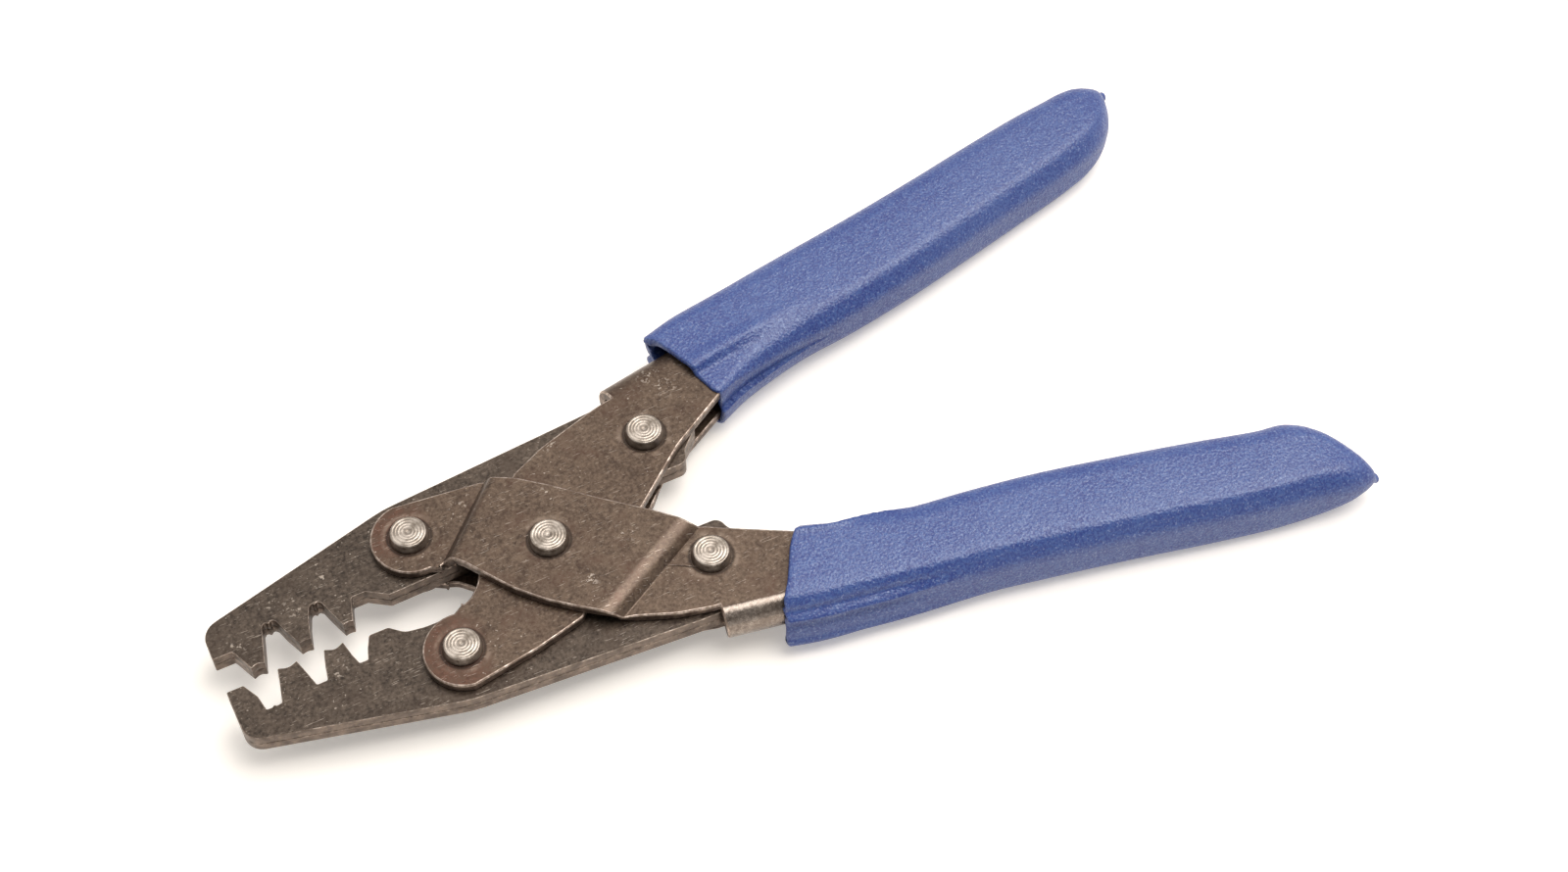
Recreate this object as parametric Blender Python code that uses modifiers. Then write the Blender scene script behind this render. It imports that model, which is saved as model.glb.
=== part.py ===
# Parallel-jaw crimping pliers for open-barrel terminals.
# Frame: origin on the resting face of the centre rivet's lower head,
# +X from the pivot towards the grips, +Y towards the upper handle, +Z up.
import bpy
import bmesh
import math
from mathutils import Vector, Matrix

MM = 0.001

# ---------------------------------------------------------------- dimensions (mm)
LINK_FRONT = 25.9        # centre rivet to the jaws' front rivets
LINK_REAR = 29.55        # centre rivet to the slot rivets
HALF_ANGLE = 30.0        # half angle of the scissor, handles open
CLOSE_HALF = 8.75        # half of the handles' closing angle

JAW_HALF = 2.10          # half thickness of a jaw (two laminations)
SEAM = 0.10              # gap between the two laminations
SHEET = 1.90             # handle sheet thickness
SIDE_GAP = 0.15          # running gap between jaw and handle side plates
MID_IN = JAW_HALF + SIDE_GAP
MID_OUT = MID_IN + SHEET
MID = MID_IN + SHEET / 2.0
RISE = SHEET + SIDE_GAP  # joggle height of the outer side plate

HEAD_R = 3.31            # rivet head, flat top
HEAD_BASE_R = 3.72       # rivet head where it meets the plate
HEAD_H = 1.75
HEAD_GAP = 0.10
SHAFT_R = 2.40
HOLE_R = 2.55            # holes in the side plates
BUSH_IN = 2.55
FRONT_BUSH_R = 3.60
JAW_HOLE_R = 3.75
SLOT_BUSH_R = 3.30
SLOT_HALF = 3.45
SPACER_R = 4.50

MID_Z = MID_OUT + RISE + HEAD_GAP + HEAD_H   # jaws' mid-plane above the rest plane

FOLD_X0 = 22.6           # where the folded back of a handle begins, joggled side
FOLD_X0_FLAT = 23.3      # the same on the flat side: the end of the fold is cut on a slight slant
FOLD_OUT_24 = 29.4       # outer face of the fold at x = 24
FOLD_SLOPE = 0.182
CHANNEL_END = 122.0      # end of the steel inside the grip

GRIP_WALL = 1.30

LOBE_R = 7.65            # rounded front end of a side plate
LOBE_DX = 0.40           # its centre, behind and outside the front rivet
LOBE_DY = 0.20

c30 = math.cos(math.radians(HALF_ANGLE))
s30 = math.sin(math.radians(HALF_ANGLE))
PT_A = (-LINK_FRONT * c30, LINK_FRONT * s30)
PT_C = (-LINK_FRONT * c30, -LINK_FRONT * s30)
PT_D = (LINK_REAR * c30, LINK_REAR * s30)
PT_E = (LINK_REAR * c30, -LINK_REAR * s30)


# ---------------------------------------------------------------- scene set-up
for ob in list(bpy.data.objects):
    bpy.data.objects.remove(ob, do_unlink=True)

part_col = bpy.data.collections.new("crimping_pliers")
cut_col = bpy.data.collections.new("cutters")
bpy.context.scene.collection.children.link(part_col)
bpy.context.scene.collection.children.link(cut_col)


def material(name, colour, rough, metal):
    m = bpy.data.materials.new(name)
    m.use_nodes = True
    b = m.node_tree.nodes["Principled BSDF"]
    b.inputs["Base Color"].default_value = (*colour, 1.0)
    b.inputs["Roughness"].default_value = rough
    b.inputs["Metallic"].default_value = metal
    m.diffuse_color = (*colour, 1.0)
    return m


MAT_HANDLE_L = material("oxide_steel_lower", (0.165, 0.118, 0.092), 0.42, 0.7)
MAT_HANDLE_U = material("oxide_steel_upper", (0.175, 0.125, 0.097), 0.42, 0.7)
MAT_JAW_U = material("jaw_steel_upper", (0.095, 0.075, 0.060), 0.48, 0.7)
MAT_JAW_L = material("jaw_steel_lower", (0.100, 0.080, 0.064), 0.48, 0.7)
MAT_JAW_U2 = material("jaw_steel_upper_back", (0.085, 0.068, 0.055), 0.5, 0.7)
MAT_JAW_L2 = material("jaw_steel_lower_back", (0.090, 0.072, 0.058), 0.5, 0.7)
MAT_RIVET = material("bright_rivet_steel", (0.52, 0.49, 0.45), 0.35, 1.0)
MAT_BUSH = material("hardened_bush_steel", (0.30, 0.29, 0.28), 0.3, 1.0)
MAT_GRIP_L = material("blue_vinyl_lower", (0.052, 0.125, 0.40), 0.5, 0.0)
MAT_GRIP_U = material("blue_vinyl_upper", (0.056, 0.132, 0.42), 0.5, 0.0)


# ---------------------------------------------------------------- outline helpers
def rounded(points, seg_angle=18.0):
    """Corner list (x, y, radius) -> closed outline with arcs at its corners."""
    out = []
    n = len(points)
    for i in range(n):
        p0 = Vector(points[i - 1][:2])
        p1 = Vector(points[i][:2])
        p2 = Vector(points[(i + 1) % n][:2])
        r = points[i][2] if len(points[i]) > 2 else 0.0
        if r <= 0.0:
            out.append((p1.x, p1.y))
            continue
        d0 = (p0 - p1)
        d2 = (p2 - p1)
        l0, l2 = d0.length, d2.length
        d0.normalize()
        d2.normalize()
        ang = math.acos(max(-1.0, min(1.0, d0.dot(d2))))
        if ang > math.radians(177.0):
            out.append((p1.x, p1.y))
            continue
        t = min(r / math.tan(ang / 2.0), 0.48 * l0, 0.48 * l2)
        rr = t * math.tan(ang / 2.0)
        a = p1 + d0 * t
        b = p1 + d2 * t
        centre = p1 + (d0 + d2).normalized() * (rr / math.sin(ang / 2.0))
        a0 = math.atan2(a.y - centre.y, a.x - centre.x)
        a1 = math.atan2(b.y - centre.y, b.x - centre.x)
        da = (a1 - a0 + math.pi) % (2.0 * math.pi) - math.pi
        k = max(1, int(math.ceil(abs(math.degrees(da)) / seg_angle)))
        for j in range(k + 1):
            w = a0 + da * j / k
            out.append((centre.x + rr * math.cos(w), centre.y + rr * math.sin(w)))
    return out


def arc(centre, r, a0, a1, n):
    return [(centre[0] + r * math.cos(math.radians(a0 + (a1 - a0) * i / n)),
             centre[1] + r * math.sin(math.radians(a0 + (a1 - a0) * i / n)))
            for i in range(n + 1)]


def circle(centre, r, n=28):
    return [(centre[0] + r * math.cos(2 * math.pi * i / n),
             centre[1] + r * math.sin(2 * math.pi * i / n)) for i in range(n)]


def stadium(p, q, r, n=8):
    a = math.degrees(math.atan2(q[1] - p[1], q[0] - p[0]))
    return arc(q, r, a - 90, a + 90, n) + arc(p, r, a + 90, a + 270, n)


def flip_y(pts):
    return [(x, -y) + tuple(rest) for x, y, *rest in pts]


# ---------------------------------------------------------------- mesh helpers
def link(ob, col=None):
    (col or part_col).objects.link(ob)
    return ob


def curve_prism(name, loops, z0, z1, mat=None, col=None):
    """Flat outline(s) extruded from z0 to z1 (mm)."""
    cu = bpy.data.curves.new(name + "_outline", "CURVE")
    cu.dimensions = "2D"
    cu.fill_mode = "BOTH"
    cu.extrude = (z1 - z0) / 2.0 * MM
    for loop in loops:
        sp = cu.splines.new("POLY")
        sp.points.add(len(loop) - 1)
        for p, (x, y) in zip(sp.points, loop):
            p.co = (x * MM, y * MM, 0.0, 1.0)
        sp.use_cyclic_u = True
    tmp = bpy.data.objects.new(name + "_curve", cu)
    tmp.location.z = (z0 + z1) / 2.0 * MM
    link(tmp, cut_col)
    bpy.context.view_layer.update()
    me = bpy.data.meshes.new_from_object(tmp.evaluated_get(bpy.context.evaluated_depsgraph_get()))
    bm = bmesh.new()
    bm.from_mesh(me)
    bmesh.ops.remove_doubles(bm, verts=bm.verts, dist=1e-6)
    bmesh.ops.recalc_face_normals(bm, faces=bm.faces)
    bm.to_mesh(me)
    bm.free()
    ob = bpy.data.objects.new(name, me)
    ob.matrix_world = tmp.matrix_world.copy()
    bpy.data.objects.remove(tmp, do_unlink=True)
    if mat:
        me.materials.clear()
        me.materials.append(mat)
    return link(ob, col)


def apply_modifiers(ob):
    bpy.context.view_layer.update()
    me = bpy.data.meshes.new_from_object(ob.evaluated_get(bpy.context.evaluated_depsgraph_get()))
    old = ob.data
    ob.modifiers.clear()
    ob.data = me
    me.name = ob.name
    if old.users == 0:
        bpy.data.meshes.remove(old)
    return ob


def boolean(ob, cutter, op="DIFFERENCE"):
    m = ob.modifiers.new("cut", "BOOLEAN")
    m.operation = op
    m.solver = "EXACT"
    m.object = cutter
    apply_modifiers(ob)
    bpy.data.objects.remove(cutter, do_unlink=True)
    return ob


def drill(ob, centre, r, z0=-30.0, z1=30.0, n=28):
    bpy.ops.mesh.primitive_cylinder_add(vertices=n, radius=r * MM, depth=(z1 - z0) * MM,
                                        location=(centre[0] * MM, centre[1] * MM, (z0 + z1) / 2 * MM))
    c = bpy.context.active_object
    for col in list(c.users_collection):
        col.objects.unlink(c)
    link(c, cut_col)
    return boolean(ob, c)


def turned(name, profile, centre, mat, steps=26):
    """Solid of revolution about Z: profile (r, z) runs from the top down the outer side."""
    me = bpy.data.meshes.new(name)
    bm = bmesh.new()
    vs = [bm.verts.new((r * MM, 0.0, z * MM)) for r, z in profile]
    for a, b in zip(vs[:-1], vs[1:]):
        bm.edges.new((a, b))
    bm.to_mesh(me)
    bm.free()
    ob = bpy.data.objects.new(name, me)
    ob.location = (centre[0] * MM, centre[1] * MM, 0.0)
    link(ob)
    s = ob.modifiers.new("turn", "SCREW")
    s.angle = 2 * math.pi
    s.steps = steps
    s.render_steps = steps
    s.use_merge_vertices = True
    s.merge_threshold = 0.000001
    s.use_smooth_shade = False
    apply_modifiers(ob)
    bm = bmesh.new()
    bm.from_mesh(ob.data)
    bmesh.ops.remove_doubles(bm, verts=bm.verts, dist=1e-7)
    bmesh.ops.recalc_face_normals(bm, faces=bm.faces)
    bm.to_mesh(ob.data)
    bm.free()
    ob.data.materials.clear()
    ob.data.materials.append(mat)
    ob.data.shade_smooth()
    ob.data.set_sharp_from_angle(angle=math.radians(35))
    return ob


# ---------------------------------------------------------------- side-plate outlines
# Outline of the flat side plate, written for the upper handle (front lobe at C,
# slot rivet at D); the joggled plate is written for the lower handle (A and E).
def fold_out(x):
    return FOLD_OUT_24 + FOLD_SLOPE * (x - 24.0)


FOLD_R = MID_OUT                      # outer bend radius: the back is a half round
FOLD_MID_R = MID                      # sheet mid-surface radius
FOLD_ANG = math.atan(FOLD_SLOPE)


def fold_line(x):
    """y of the line where the flat side plate ends and the bend begins."""
    return fold_out(x) - FOLD_R / math.cos(FOLD_ANG)


INNER_EDGE = [(43.4, 17.6), (50.0, 20.7), (60.0, 23.7), (72.0, 25.3), (84.0, 27.7),
              (102.0, 32.1), (CHANNEL_END, 37.3)]


def flat_plate_outline():
    """Closed outline, upper handle sense, without the bend strip (it ends on the fold line)."""
    c = (PT_C[0] + LOBE_DX, PT_C[1] - LOBE_DY)
    lobe = arc(c, LOBE_R, 83.0, 262.0, 14)                   # round the front rivet, anticlockwise
    pts = []
    pts += lobe
    pts += [(-10.6, -18.85), (-5.2, -17.6)]
    tail = [(-5.2, -17.6, 0), (-0.4, -16.4, 2.2), (5.0, -10.0, 9.0), (12.0, -4.6, 6.0), (19.0, 0.6, 4.0),
            (30.4, 9.9, 10.0)]
    r = rounded([(-14.0, -19.4, 0)] + tail + [(42.2, 17.0, 0)])
    i0 = 2
    pts += r[i0:-1]
    pts += [(x, y) for x, y in INNER_EDGE]
    return pts


# flat plate: points after the channel end, back along the fold line, notch, front edges
def flat_plate_full():
    pts = flat_plate_outline()
    pts.append(("fold", CHANNEL_END))
    pts.append(("fold", FOLD_X0_FLAT))
    tail = rounded([(FOLD_X0_FLAT, fold_line(FOLD_X0_FLAT), 0), (22.0, 24.9, 0.9), (17.4, 23.75, 8.0),
                    (7.0, 20.6, 12.0), (0.0, 17.3, 3.0), (-4.5, 12.6, 6.0), (-9.0, 6.8, 8.0),
                    (-13.2, 1.6, 5.0), (-15.0, -1.6, 4.0), (-17.2, -3.9, 4.0), (-20.0, -4.95, 5.0)])
    pts += tail[1:-1]
    return pts


def joggle_plate_full():
    """Closed outline, lower handle sense mirrored to +y fold side for shared code: y is negated."""
    a = (PT_A[0] + LOBE_DX, -PT_A[1] + LOBE_DY)
    pts = []
    # written with y negated: A is at -y here and the fold at +y
    lobe = arc(a, LOBE_R, 86.0, 262.0, 14)
    pts += lobe
    upper = rounded([(-14.0, -19.3, 0), (-6.2, -18.35, 2.6), (-0.4, -15.3, 12.0), (4.6, -11.2, 14.0),
                     (12.0, -4.4, 14.0), (19.4, 2.0, 10.0), (24.6, 7.0, 4.0), (27.2, 8.5, 3.0),
                     (31.0, 10.75, 10.0), (42.2, 16.75, 0)])
    pts += upper[:-1]
    pts += [(x, y) for x, y in INNER_EDGE]
    pts.append(("fold", CHANNEL_END))
    pts.append(("fold", FOLD_X0))
    lower = rounded([(FOLD_X0, fold_line(FOLD_X0), 0), (21.3, 24.75, 0.9), (15.0, 23.2, 10.0),
                     (8.0, 20.4, 10.0), (3.2, 18.3, 8.0), (-1.0, 15.1, 12.0), (-5.8, 11.1, 16.0),
                     (-9.8, 6.6, 16.0), (-12.9, 2.0, 16.0), (-15.7, -2.2, 6.0), (-17.6, -4.35, 3.0),
                     (-20.5, -5.05, 5.0)])
    pts += lower[1:-1]
    return pts


# joggle bend lines of the joggled plate (y negated like its outline): a point on the
# bottom of each ramp, the direction pointing up the ramp, and the ramp's run
F_ANG = math.radians(44.0)
R_ANG = math.radians(29.0)
FRONT_RAMP = ((-17.55, -6.2), (math.sin(F_ANG), math.cos(F_ANG)), 2.1)
REAR_RAMP = ((6.3, 19.1), (-math.sin(R_ANG), -math.cos(R_ANG)), 2.5)


def ramp_fraction(t, sharp_foot):
    """Height fraction across a ramp, t = 0 at its foot, 1 at its crest."""
    if t <= 0.0:
        return 0.0
    if t >= 1.0:
        return 1.0
    if sharp_foot:
        return math.sin(t * math.pi / 2.0) ** 1.15
    return 0.5 - 0.5 * math.cos(math.pi * t)


FRONT_CUTS = (0.0, 0.28, 0.5, 0.72, 1.0)
REAR_CUTS = (0.0, 0.3, 0.55, 0.78, 1.0)


def ramp_height(x, y):
    (fx, fy), fd, fr = FRONT_RAMP
    (rx, ry), rd, rr = REAR_RAMP
    tf = ((x - fx) * fd[0] + (y - fy) * fd[1]) / fr
    tr = ((x - rx) * rd[0] + (y - ry) * rd[1]) / rr
    return RISE * min(ramp_fraction(tf, False), ramp_fraction(tr, True))


# ---------------------------------------------------------------- folded handle
def build_handle(name, mat, upper):
    """One blank with two side plates and the strip between them, joggled, then folded
    round its back.  Made with its fold on +y, joggled plate on top, then turned over
    (upper handle) or mirrored in y (lower handle)."""
    u = Vector((math.cos(FOLD_ANG), math.sin(FOLD_ANG)))
    n = Vector((-math.sin(FOLD_ANG), math.cos(FOLD_ANG)))
    p0 = Vector((FOLD_X0, fold_line(FOLD_X0)))
    strip = math.pi * FOLD_MID_R

    def to_uv(pt, top):
        d = Vector(pt) - p0
        v = d.dot(n)
        return (d.dot(u), v if top else strip - v)

    def walk(outline):
        return [((p[1], fold_line(p[1])) if p[0] == "fold" else p) for p in outline]

    top = walk(joggle_plate_full())
    bot = walk(flat_plate_full())
    # rotate each outline so that it starts at the fold's front corner
    def start_at_fold(pts):
        target = (FOLD_X0, fold_line(FOLD_X0))
        k = min(range(len(pts)), key=lambda i: (pts[i][0] - target[0]) ** 2 + (pts[i][1] - target[1]) ** 2)
        return pts[k:] + pts[:k]

    top = start_at_fold(top)          # fold front ... lobe ... inner edge ... fold rear
    bot = start_at_fold(bot)
    uv = [to_uv(p, True) for p in top] + [to_uv(p, False) for p in reversed(bot)]
    clean = []
    for q in uv:
        if not clean or (Vector(q) - Vector(clean[-1])).length > 0.05:
            clean.append(q)
    me = bpy.data.meshes.new(name)
    bm = bmesh.new()
    face = bm.faces.new([bm.verts.new((x, y, 0.0)) for x, y in clean])
    if face.normal.z < 0:
        face.normal_flip()
    bm.faces.ensure_lookup_table()

    def cut(co, no, only=None):
        geom = []
        for f in bm.faces:
            if only is None or only(f):
                geom.append(f)
        es = set()
        vs = set()
        for f in geom:
            es.update(f.edges)
            vs.update(f.verts)
        bmesh.ops.bisect_plane(bm, geom=list(vs) + list(es) + geom, dist=1e-5, plane_co=co, plane_no=no)

    bends = 8
    for i in range(bends + 1):
        cut((0, strip * i / bends, 0), (0, 1, 0))
    in_top = (lambda f: f.calc_center_median().y < 0.0)
    for (pt, d, run), cuts in ((FRONT_RAMP, FRONT_CUTS), (REAR_RAMP, REAR_CUTS)):
        for c in cuts:
            q = Vector((pt[0] + d[0] * run * c, pt[1] + d[1] * run * c)) - p0
            dd = Vector(d)
            cut((q.dot(u), q.dot(n), 0), (dd.dot(u), dd.dot(n), 0), in_top)
    for v in bm.verts:
        uu, vv = v.co.x, v.co.y
        if vv <= 1e-5:
            xy = p0 + u * uu + n * vv
            v.co = (xy.x, xy.y, MID + ramp_height(xy.x, xy.y))
        elif vv >= strip - 1e-5:
            xy = p0 + u * uu + n * (strip - vv)
            v.co = (xy.x, xy.y, -MID)
        else:
            a = vv / FOLD_MID_R
            xy = p0 + u * uu + n * (FOLD_MID_R * math.sin(a))
            v.co = (xy.x, xy.y, MID * math.cos(a))
    for v in bm.verts:
        v.co = v.co * MM
    bmesh.ops.recalc_face_normals(bm, faces=bm.faces)
    bm.to_mesh(me)
    bm.free()
    ob = bpy.data.objects.new(name, me)
    link(ob)
    s = ob.modifiers.new("sheet", "SOLIDIFY")
    s.thickness = SHEET * MM
    s.offset = 0.0
    s.use_even_offset = True
    apply_modifiers(ob)
    front = (PT_A[0], -PT_A[1])
    rear = (PT_E[0], -PT_E[1])
    for c in (front, rear, (0.0, 0.0)):
        drill(ob, c, HOLE_R)
    bm = bmesh.new()
    bm.from_mesh(ob.data)
    if upper:
        bmesh.ops.transform(bm, matrix=Matrix.Diagonal((1, 1, -1, 1)), verts=bm.verts)
    else:
        bmesh.ops.transform(bm, matrix=Matrix.Diagonal((1, -1, 1, 1)), verts=bm.verts)
    bmesh.ops.translate(bm, vec=(0, 0, MID_Z * MM), verts=bm.verts)
    bmesh.ops.recalc_face_normals(bm, faces=bm.faces)
    bm.to_mesh(ob.data)
    bm.free()
    ob.data.materials.clear()
    ob.data.materials.append(mat)
    return ob


# ---------------------------------------------------------------- jaws
def tail_outline(sign_top=True):
    """Rear half of the upper jaw's outline, from the outer edge round to the throat."""
    return [(22.3, 25.35, 3.0), (27.5, 24.6, 4.0), (33.0, 21.6, 4.0), (35.8, 17.4, 4.0),
            (35.6, 13.6, 3.0), (33.2, 11.2, 2.0), (31.5, 9.6, 2.4), (30.6, 6.85, 2.6),
            (14.0, 6.85, 3.0), (10.0, 8.4, 3.0), (2.0, 9.3, 6.0), (-6.0, 8.3, 3.0),
            (-10.5, 5.4, 4.0), (-15.0, 4.75, 3.0)]


def upper_jaw_outline():
    pts = [(-63.2, 5.55, 0.25), (-63.2, 12.1, 3.8), (-24.6, 21.9, 22.0), (19.0, 25.25, 8.0)]
    pts += tail_outline()
    pts += [(-29.9, 4.35, 0.5), (-33.6, 6.85, 0.5), (-36.35, 6.85, 0.5),
            # tooth 3
            (-37.75, 2.15, 0.15), (-38.75, 2.35, 2.0), (-39.65, 2.1, 0.15),
            # former 2, two arches meeting at a cusp
            (-40.97, 5.9, 0.8), (-41.66, 8.2, 0.7), (-42.35, 8.75, 0.4), (-42.85, 8.25, 0.12),
            (-43.35, 8.75, 0.4), (-43.95, 8.2, 0.7), (-44.95, 5.6, 0.8),
            # tooth 2
            (-45.9, 1.95, 0.15), (-47.0, 2.2, 2.0), (-48.05, 1.95, 0.15),
            # former 1
            (-49.55, 5.6, 0.8), (-50.35, 8.1, 0.8), (-51.0, 8.75, 0.4), (-51.7, 8.15, 0.12),
            (-52.4, 8.75, 0.4), (-53.0, 8.1, 0.8), (-53.75, 5.4, 0.8),
            # tooth 1
            (-55.05, 0.9, 0.15), (-56.3, 1.45, 2.2), (-57.55, 0.9, 0.15),
            (-59.2, 4.8, 0.4), (-59.6, 5.55, 0.3)]
    return rounded(pts, 24.0)


def lower_jaw_outline():
    pts = [(-63.2, -1.75, 0.25), (-60.05, -1.75, 0.4),
           # valley 1
           (-58.45, -4.9, 1.2), (-57.95, -8.05, 0.35), (-56.9, -8.1, 0.2), (-56.45, -7.75, 0.2),
           (-56.0, -8.1, 0.2), (-55.0, -7.95, 0.4), (-54.2, -4.7, 1.5), (-53.42, -1.15, 0.2),
           # anvil 1, dished
           (-51.55, -1.85, 2.6), (-49.8, -1.15, 0.2),
           # valley 2
           (-48.85, -4.6, 1.2), (-48.2, -7.25, 0.4), (-46.15, -7.25, 0.4), (-45.55, -4.4, 1.2), (-44.65, -1.15, 0.2),
           # anvil 2, dished
           (-42.75, -2.05, 2.6), (-41.02, -1.15, 0.2),
           # valley 3
           (-40.42, -4.4, 1.0), (-39.8, -6.5, 0.35), (-38.2, -6.5, 0.35), (-37.5, -4.4, 1.0), (-36.3, -1.9, 0.6),
           (-32.6, -1.9, 1.2), (-30.2, -4.1, 3.0), (-26.5, -4.7, 6.0)]
    tail = flip_y(tail_outline())
    tail.reverse()
    pts += tail
    pts += [(19.0, -25.25, 8.0), (-24.6, -22.2, 22.0), (-63.2, -12.5, 3.6)]
    return rounded(pts, 24.0)


close = math.radians(HALF_ANGLE - CLOSE_HALF)
SLOT_DX = (LINK_REAR + LINK_FRONT) * (math.cos(close) - c30)
SLOT_DY = (LINK_REAR - LINK_FRONT) * (math.sin(close) - s30)


def jaw_plate(name, outline, hole, slot_from, slot_dir, z0, z1, mat):
    d = Vector(slot_dir)
    k = d.normalized() * 0.25
    a = Vector(slot_from) - k
    b = Vector(slot_from) + d + k
    loops = [outline, circle(hole, JAW_HOLE_R), stadium(tuple(a), tuple(b), SLOT_HALF)]
    return curve_prism(name, loops, MID_Z + z0, MID_Z + z1, mat)


# ---------------------------------------------------------------- grips
# Stations along a grip (upper sense): x, inner y, outer y, half thickness, shear
GRIP_UPPER = [
    (37.6, 14.7, 35.6, 6.25, -0.46),
    (42.0, 16.1, 36.9, 6.2, -0.42),
    (50.0, 18.4, 38.8, 6.1, -0.34),
    (60.0, 21.0, 40.9, 6.0, -0.26),
    (72.0, 22.6, 43.05, 6.0, -0.2),
    (84.0, 24.9, 45.05, 6.0, -0.2),
    (100.0, 28.7, 48.1, 6.0, -0.2),
    (116.0, 32.9, 51.45, 6.0, -0.2),
    (128.0, 35.9, 53.8, 5.95, -0.18),
]
GRIP_LOWER = [
    (37.6, 14.4, 33.9, 6.25, -0.46),
    (42.0, 15.6, 35.2, 6.2, -0.42),
    (50.0, 17.6, 36.7, 6.1, -0.34),
    (60.0, 20.2, 38.4, 6.0, -0.26),
    (72.0, 21.8, 40.3, 6.0, -0.2),
    (84.0, 23.7, 42.6, 6.0, -0.2),
    (100.0, 27.1, 45.9, 6.0, -0.2),
    (116.0, 30.9, 49.5, 6.0, -0.2),
    (128.0, 33.9, 51.9, 5.95, -0.18),
]
GRIP_END = [            # x, inner y offset and outer y offset from the last station, half thickness
    (134.0, 1.9, 0.6, 5.85),
    (138.0, 4.1, 0.6, 5.55),
    (141.0, 6.6, 0.2, 5.05),
    (143.2, 9.2, -0.6, 4.3),
    (144.6, 11.6, -1.7, 3.3),
    (145.3, 13.6, -2.9, 2.2),
]
NUB_TIP = 146.8          # x of the drip nub's tip


def grip_ring(x, yi, yo, b, shear, r, inset=0.0):
    yc = (yi + yo) / 2.0
    a = (yo - yi) / 2.0 - inset
    b = b - inset
    r = min(max(r - inset, 0.8), 0.98 * a, 0.98 * b)
    pts = []
    per = 4
    for k, (sy, sz) in enumerate(((1, 1), (-1, 1), (-1, -1), (1, -1))):
        for j in range(per + 1):
            w = math.radians(90.0 * k + 90.0 * j / per)
            y = yc + sy * (a - r) + r * math.cos(w)
            z = sz * (b - r) + r * math.sin(w)
            pts.append((x + shear * (y - yc), y, z))
    return pts


def build_grip(name, stations, mat, lower):
    last = stations[-1]
    outer = [grip_ring(x, yi, yo, b, sh, 4.0) for x, yi, yo, b, sh in stations]
    for i, (x, di, do, b) in enumerate(GRIP_END):
        sh = -0.18 * (1.0 - (i + 1) / len(GRIP_END))
        outer.append(grip_ring(x, last[1] + di, last[2] + do, b, sh, 4.0))
    nub_y = last[2] - (0.9 if lower else 1.35)
    nub_z = -1.2 if lower else 0.0
    x_end = GRIP_END[-1][0]
    for x, dy0, dy1, b, r in ((x_end + 0.25, -1.5, 1.3, 1.4, 1.35), (NUB_TIP - 0.4, -0.9, 1.1, 1.0, 0.95),
                              (NUB_TIP, -0.35, 0.65, 0.5, 0.45)):
        outer.append([(px, py, pz + nub_z) for px, py, pz in grip_ring(x, nub_y + dy0, nub_y + dy1, b, 0.0, r)])
    inner = []
    for i, (x, yi, yo, b, sh) in enumerate(stations):
        inner.append(grip_ring(x, yi, yo, b, sh, 4.0, GRIP_WALL if i > 1 else (0.95, 1.15)[i]))
    rings = list(reversed(inner)) + outer
    me = bpy.data.meshes.new(name)
    bm = bmesh.new()
    sgn = -1.0 if lower else 1.0
    rows = []
    for ring in rings:
        rows.append([bm.verts.new((x * MM, sgn * y * MM, (z + MID_Z) * MM)) for x, y, z in ring])
    m = len(rows[0])
    for a, b in zip(rows[:-1], rows[1:]):
        for j in range(m):
            bm.faces.new((a[j], a[(j + 1) % m], b[(j + 1) % m], b[j]))
    bm.faces.new(rows[0])
    bm.faces.new(rows[-1])
    bmesh.ops.recalc_face_normals(bm, faces=bm.faces)
    bmesh.ops.triangulate(bm, faces=bm.faces)
    bm.to_mesh(me)
    bm.free()
    ob = bpy.data.objects.new(name, me)
    me.materials.append(mat)
    me.shade_smooth()
    me.set_sharp_from_angle(angle=math.radians(50))
    return link(ob)


# ---------------------------------------------------------------- rivets and sleeves
def rivet(name, centre, plate_out, mat):
    zt = plate_out + HEAD_GAP + HEAD_H
    zh = plate_out + HEAD_GAP
    prof = [(0.0, zt), (HEAD_R - 0.15, zt), (HEAD_R, zt - 0.12), (HEAD_BASE_R, zh + 0.25), (HEAD_BASE_R, zh),
            (SHAFT_R, zh)]
    full = prof + [(r, -z) for r, z in reversed(prof)]
    return turned(name, [(r, z + MID_Z) for r, z in full], centre, mat)


def sleeve(name, centre, r_in, r_out, half, mat, steps=22):
    prof = [(r_in, half), (r_out - 0.2, half), (r_out, half - 0.2), (r_out, -half + 0.2), (r_out - 0.2, -half),
            (r_in, -half), (r_in, half)]
    return turned(name, [(r, z + MID_Z) for r, z in prof], centre, mat, steps)


# ---------------------------------------------------------------- assembly
build_handle("lower_handle_frame", MAT_HANDLE_L, upper=False)
build_handle("upper_handle_frame", MAT_HANDLE_U, upper=True)
build_grip("lower_grip", GRIP_LOWER, MAT_GRIP_L, lower=True)
build_grip("upper_grip", GRIP_UPPER, MAT_GRIP_U, lower=False)

up = upper_jaw_outline()
lo = lower_jaw_outline()
slot_up = (SLOT_DX, SLOT_DY)
slot_lo = (SLOT_DX, -SLOT_DY)
h = SEAM / 2.0
jaw_plate("upper_jaw_front_plate", up, PT_A, PT_D, slot_up, h, JAW_HALF, MAT_JAW_U)
jaw_plate("upper_jaw_back_plate", up, PT_A, PT_D, slot_up, -JAW_HALF, -h, MAT_JAW_U2)
jaw_plate("lower_jaw_front_plate", lo, PT_C, PT_E, slot_lo, h, JAW_HALF, MAT_JAW_L)
jaw_plate("lower_jaw_back_plate", lo, PT_C, PT_E, slot_lo, -JAW_HALF, -h, MAT_JAW_L2)

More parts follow.
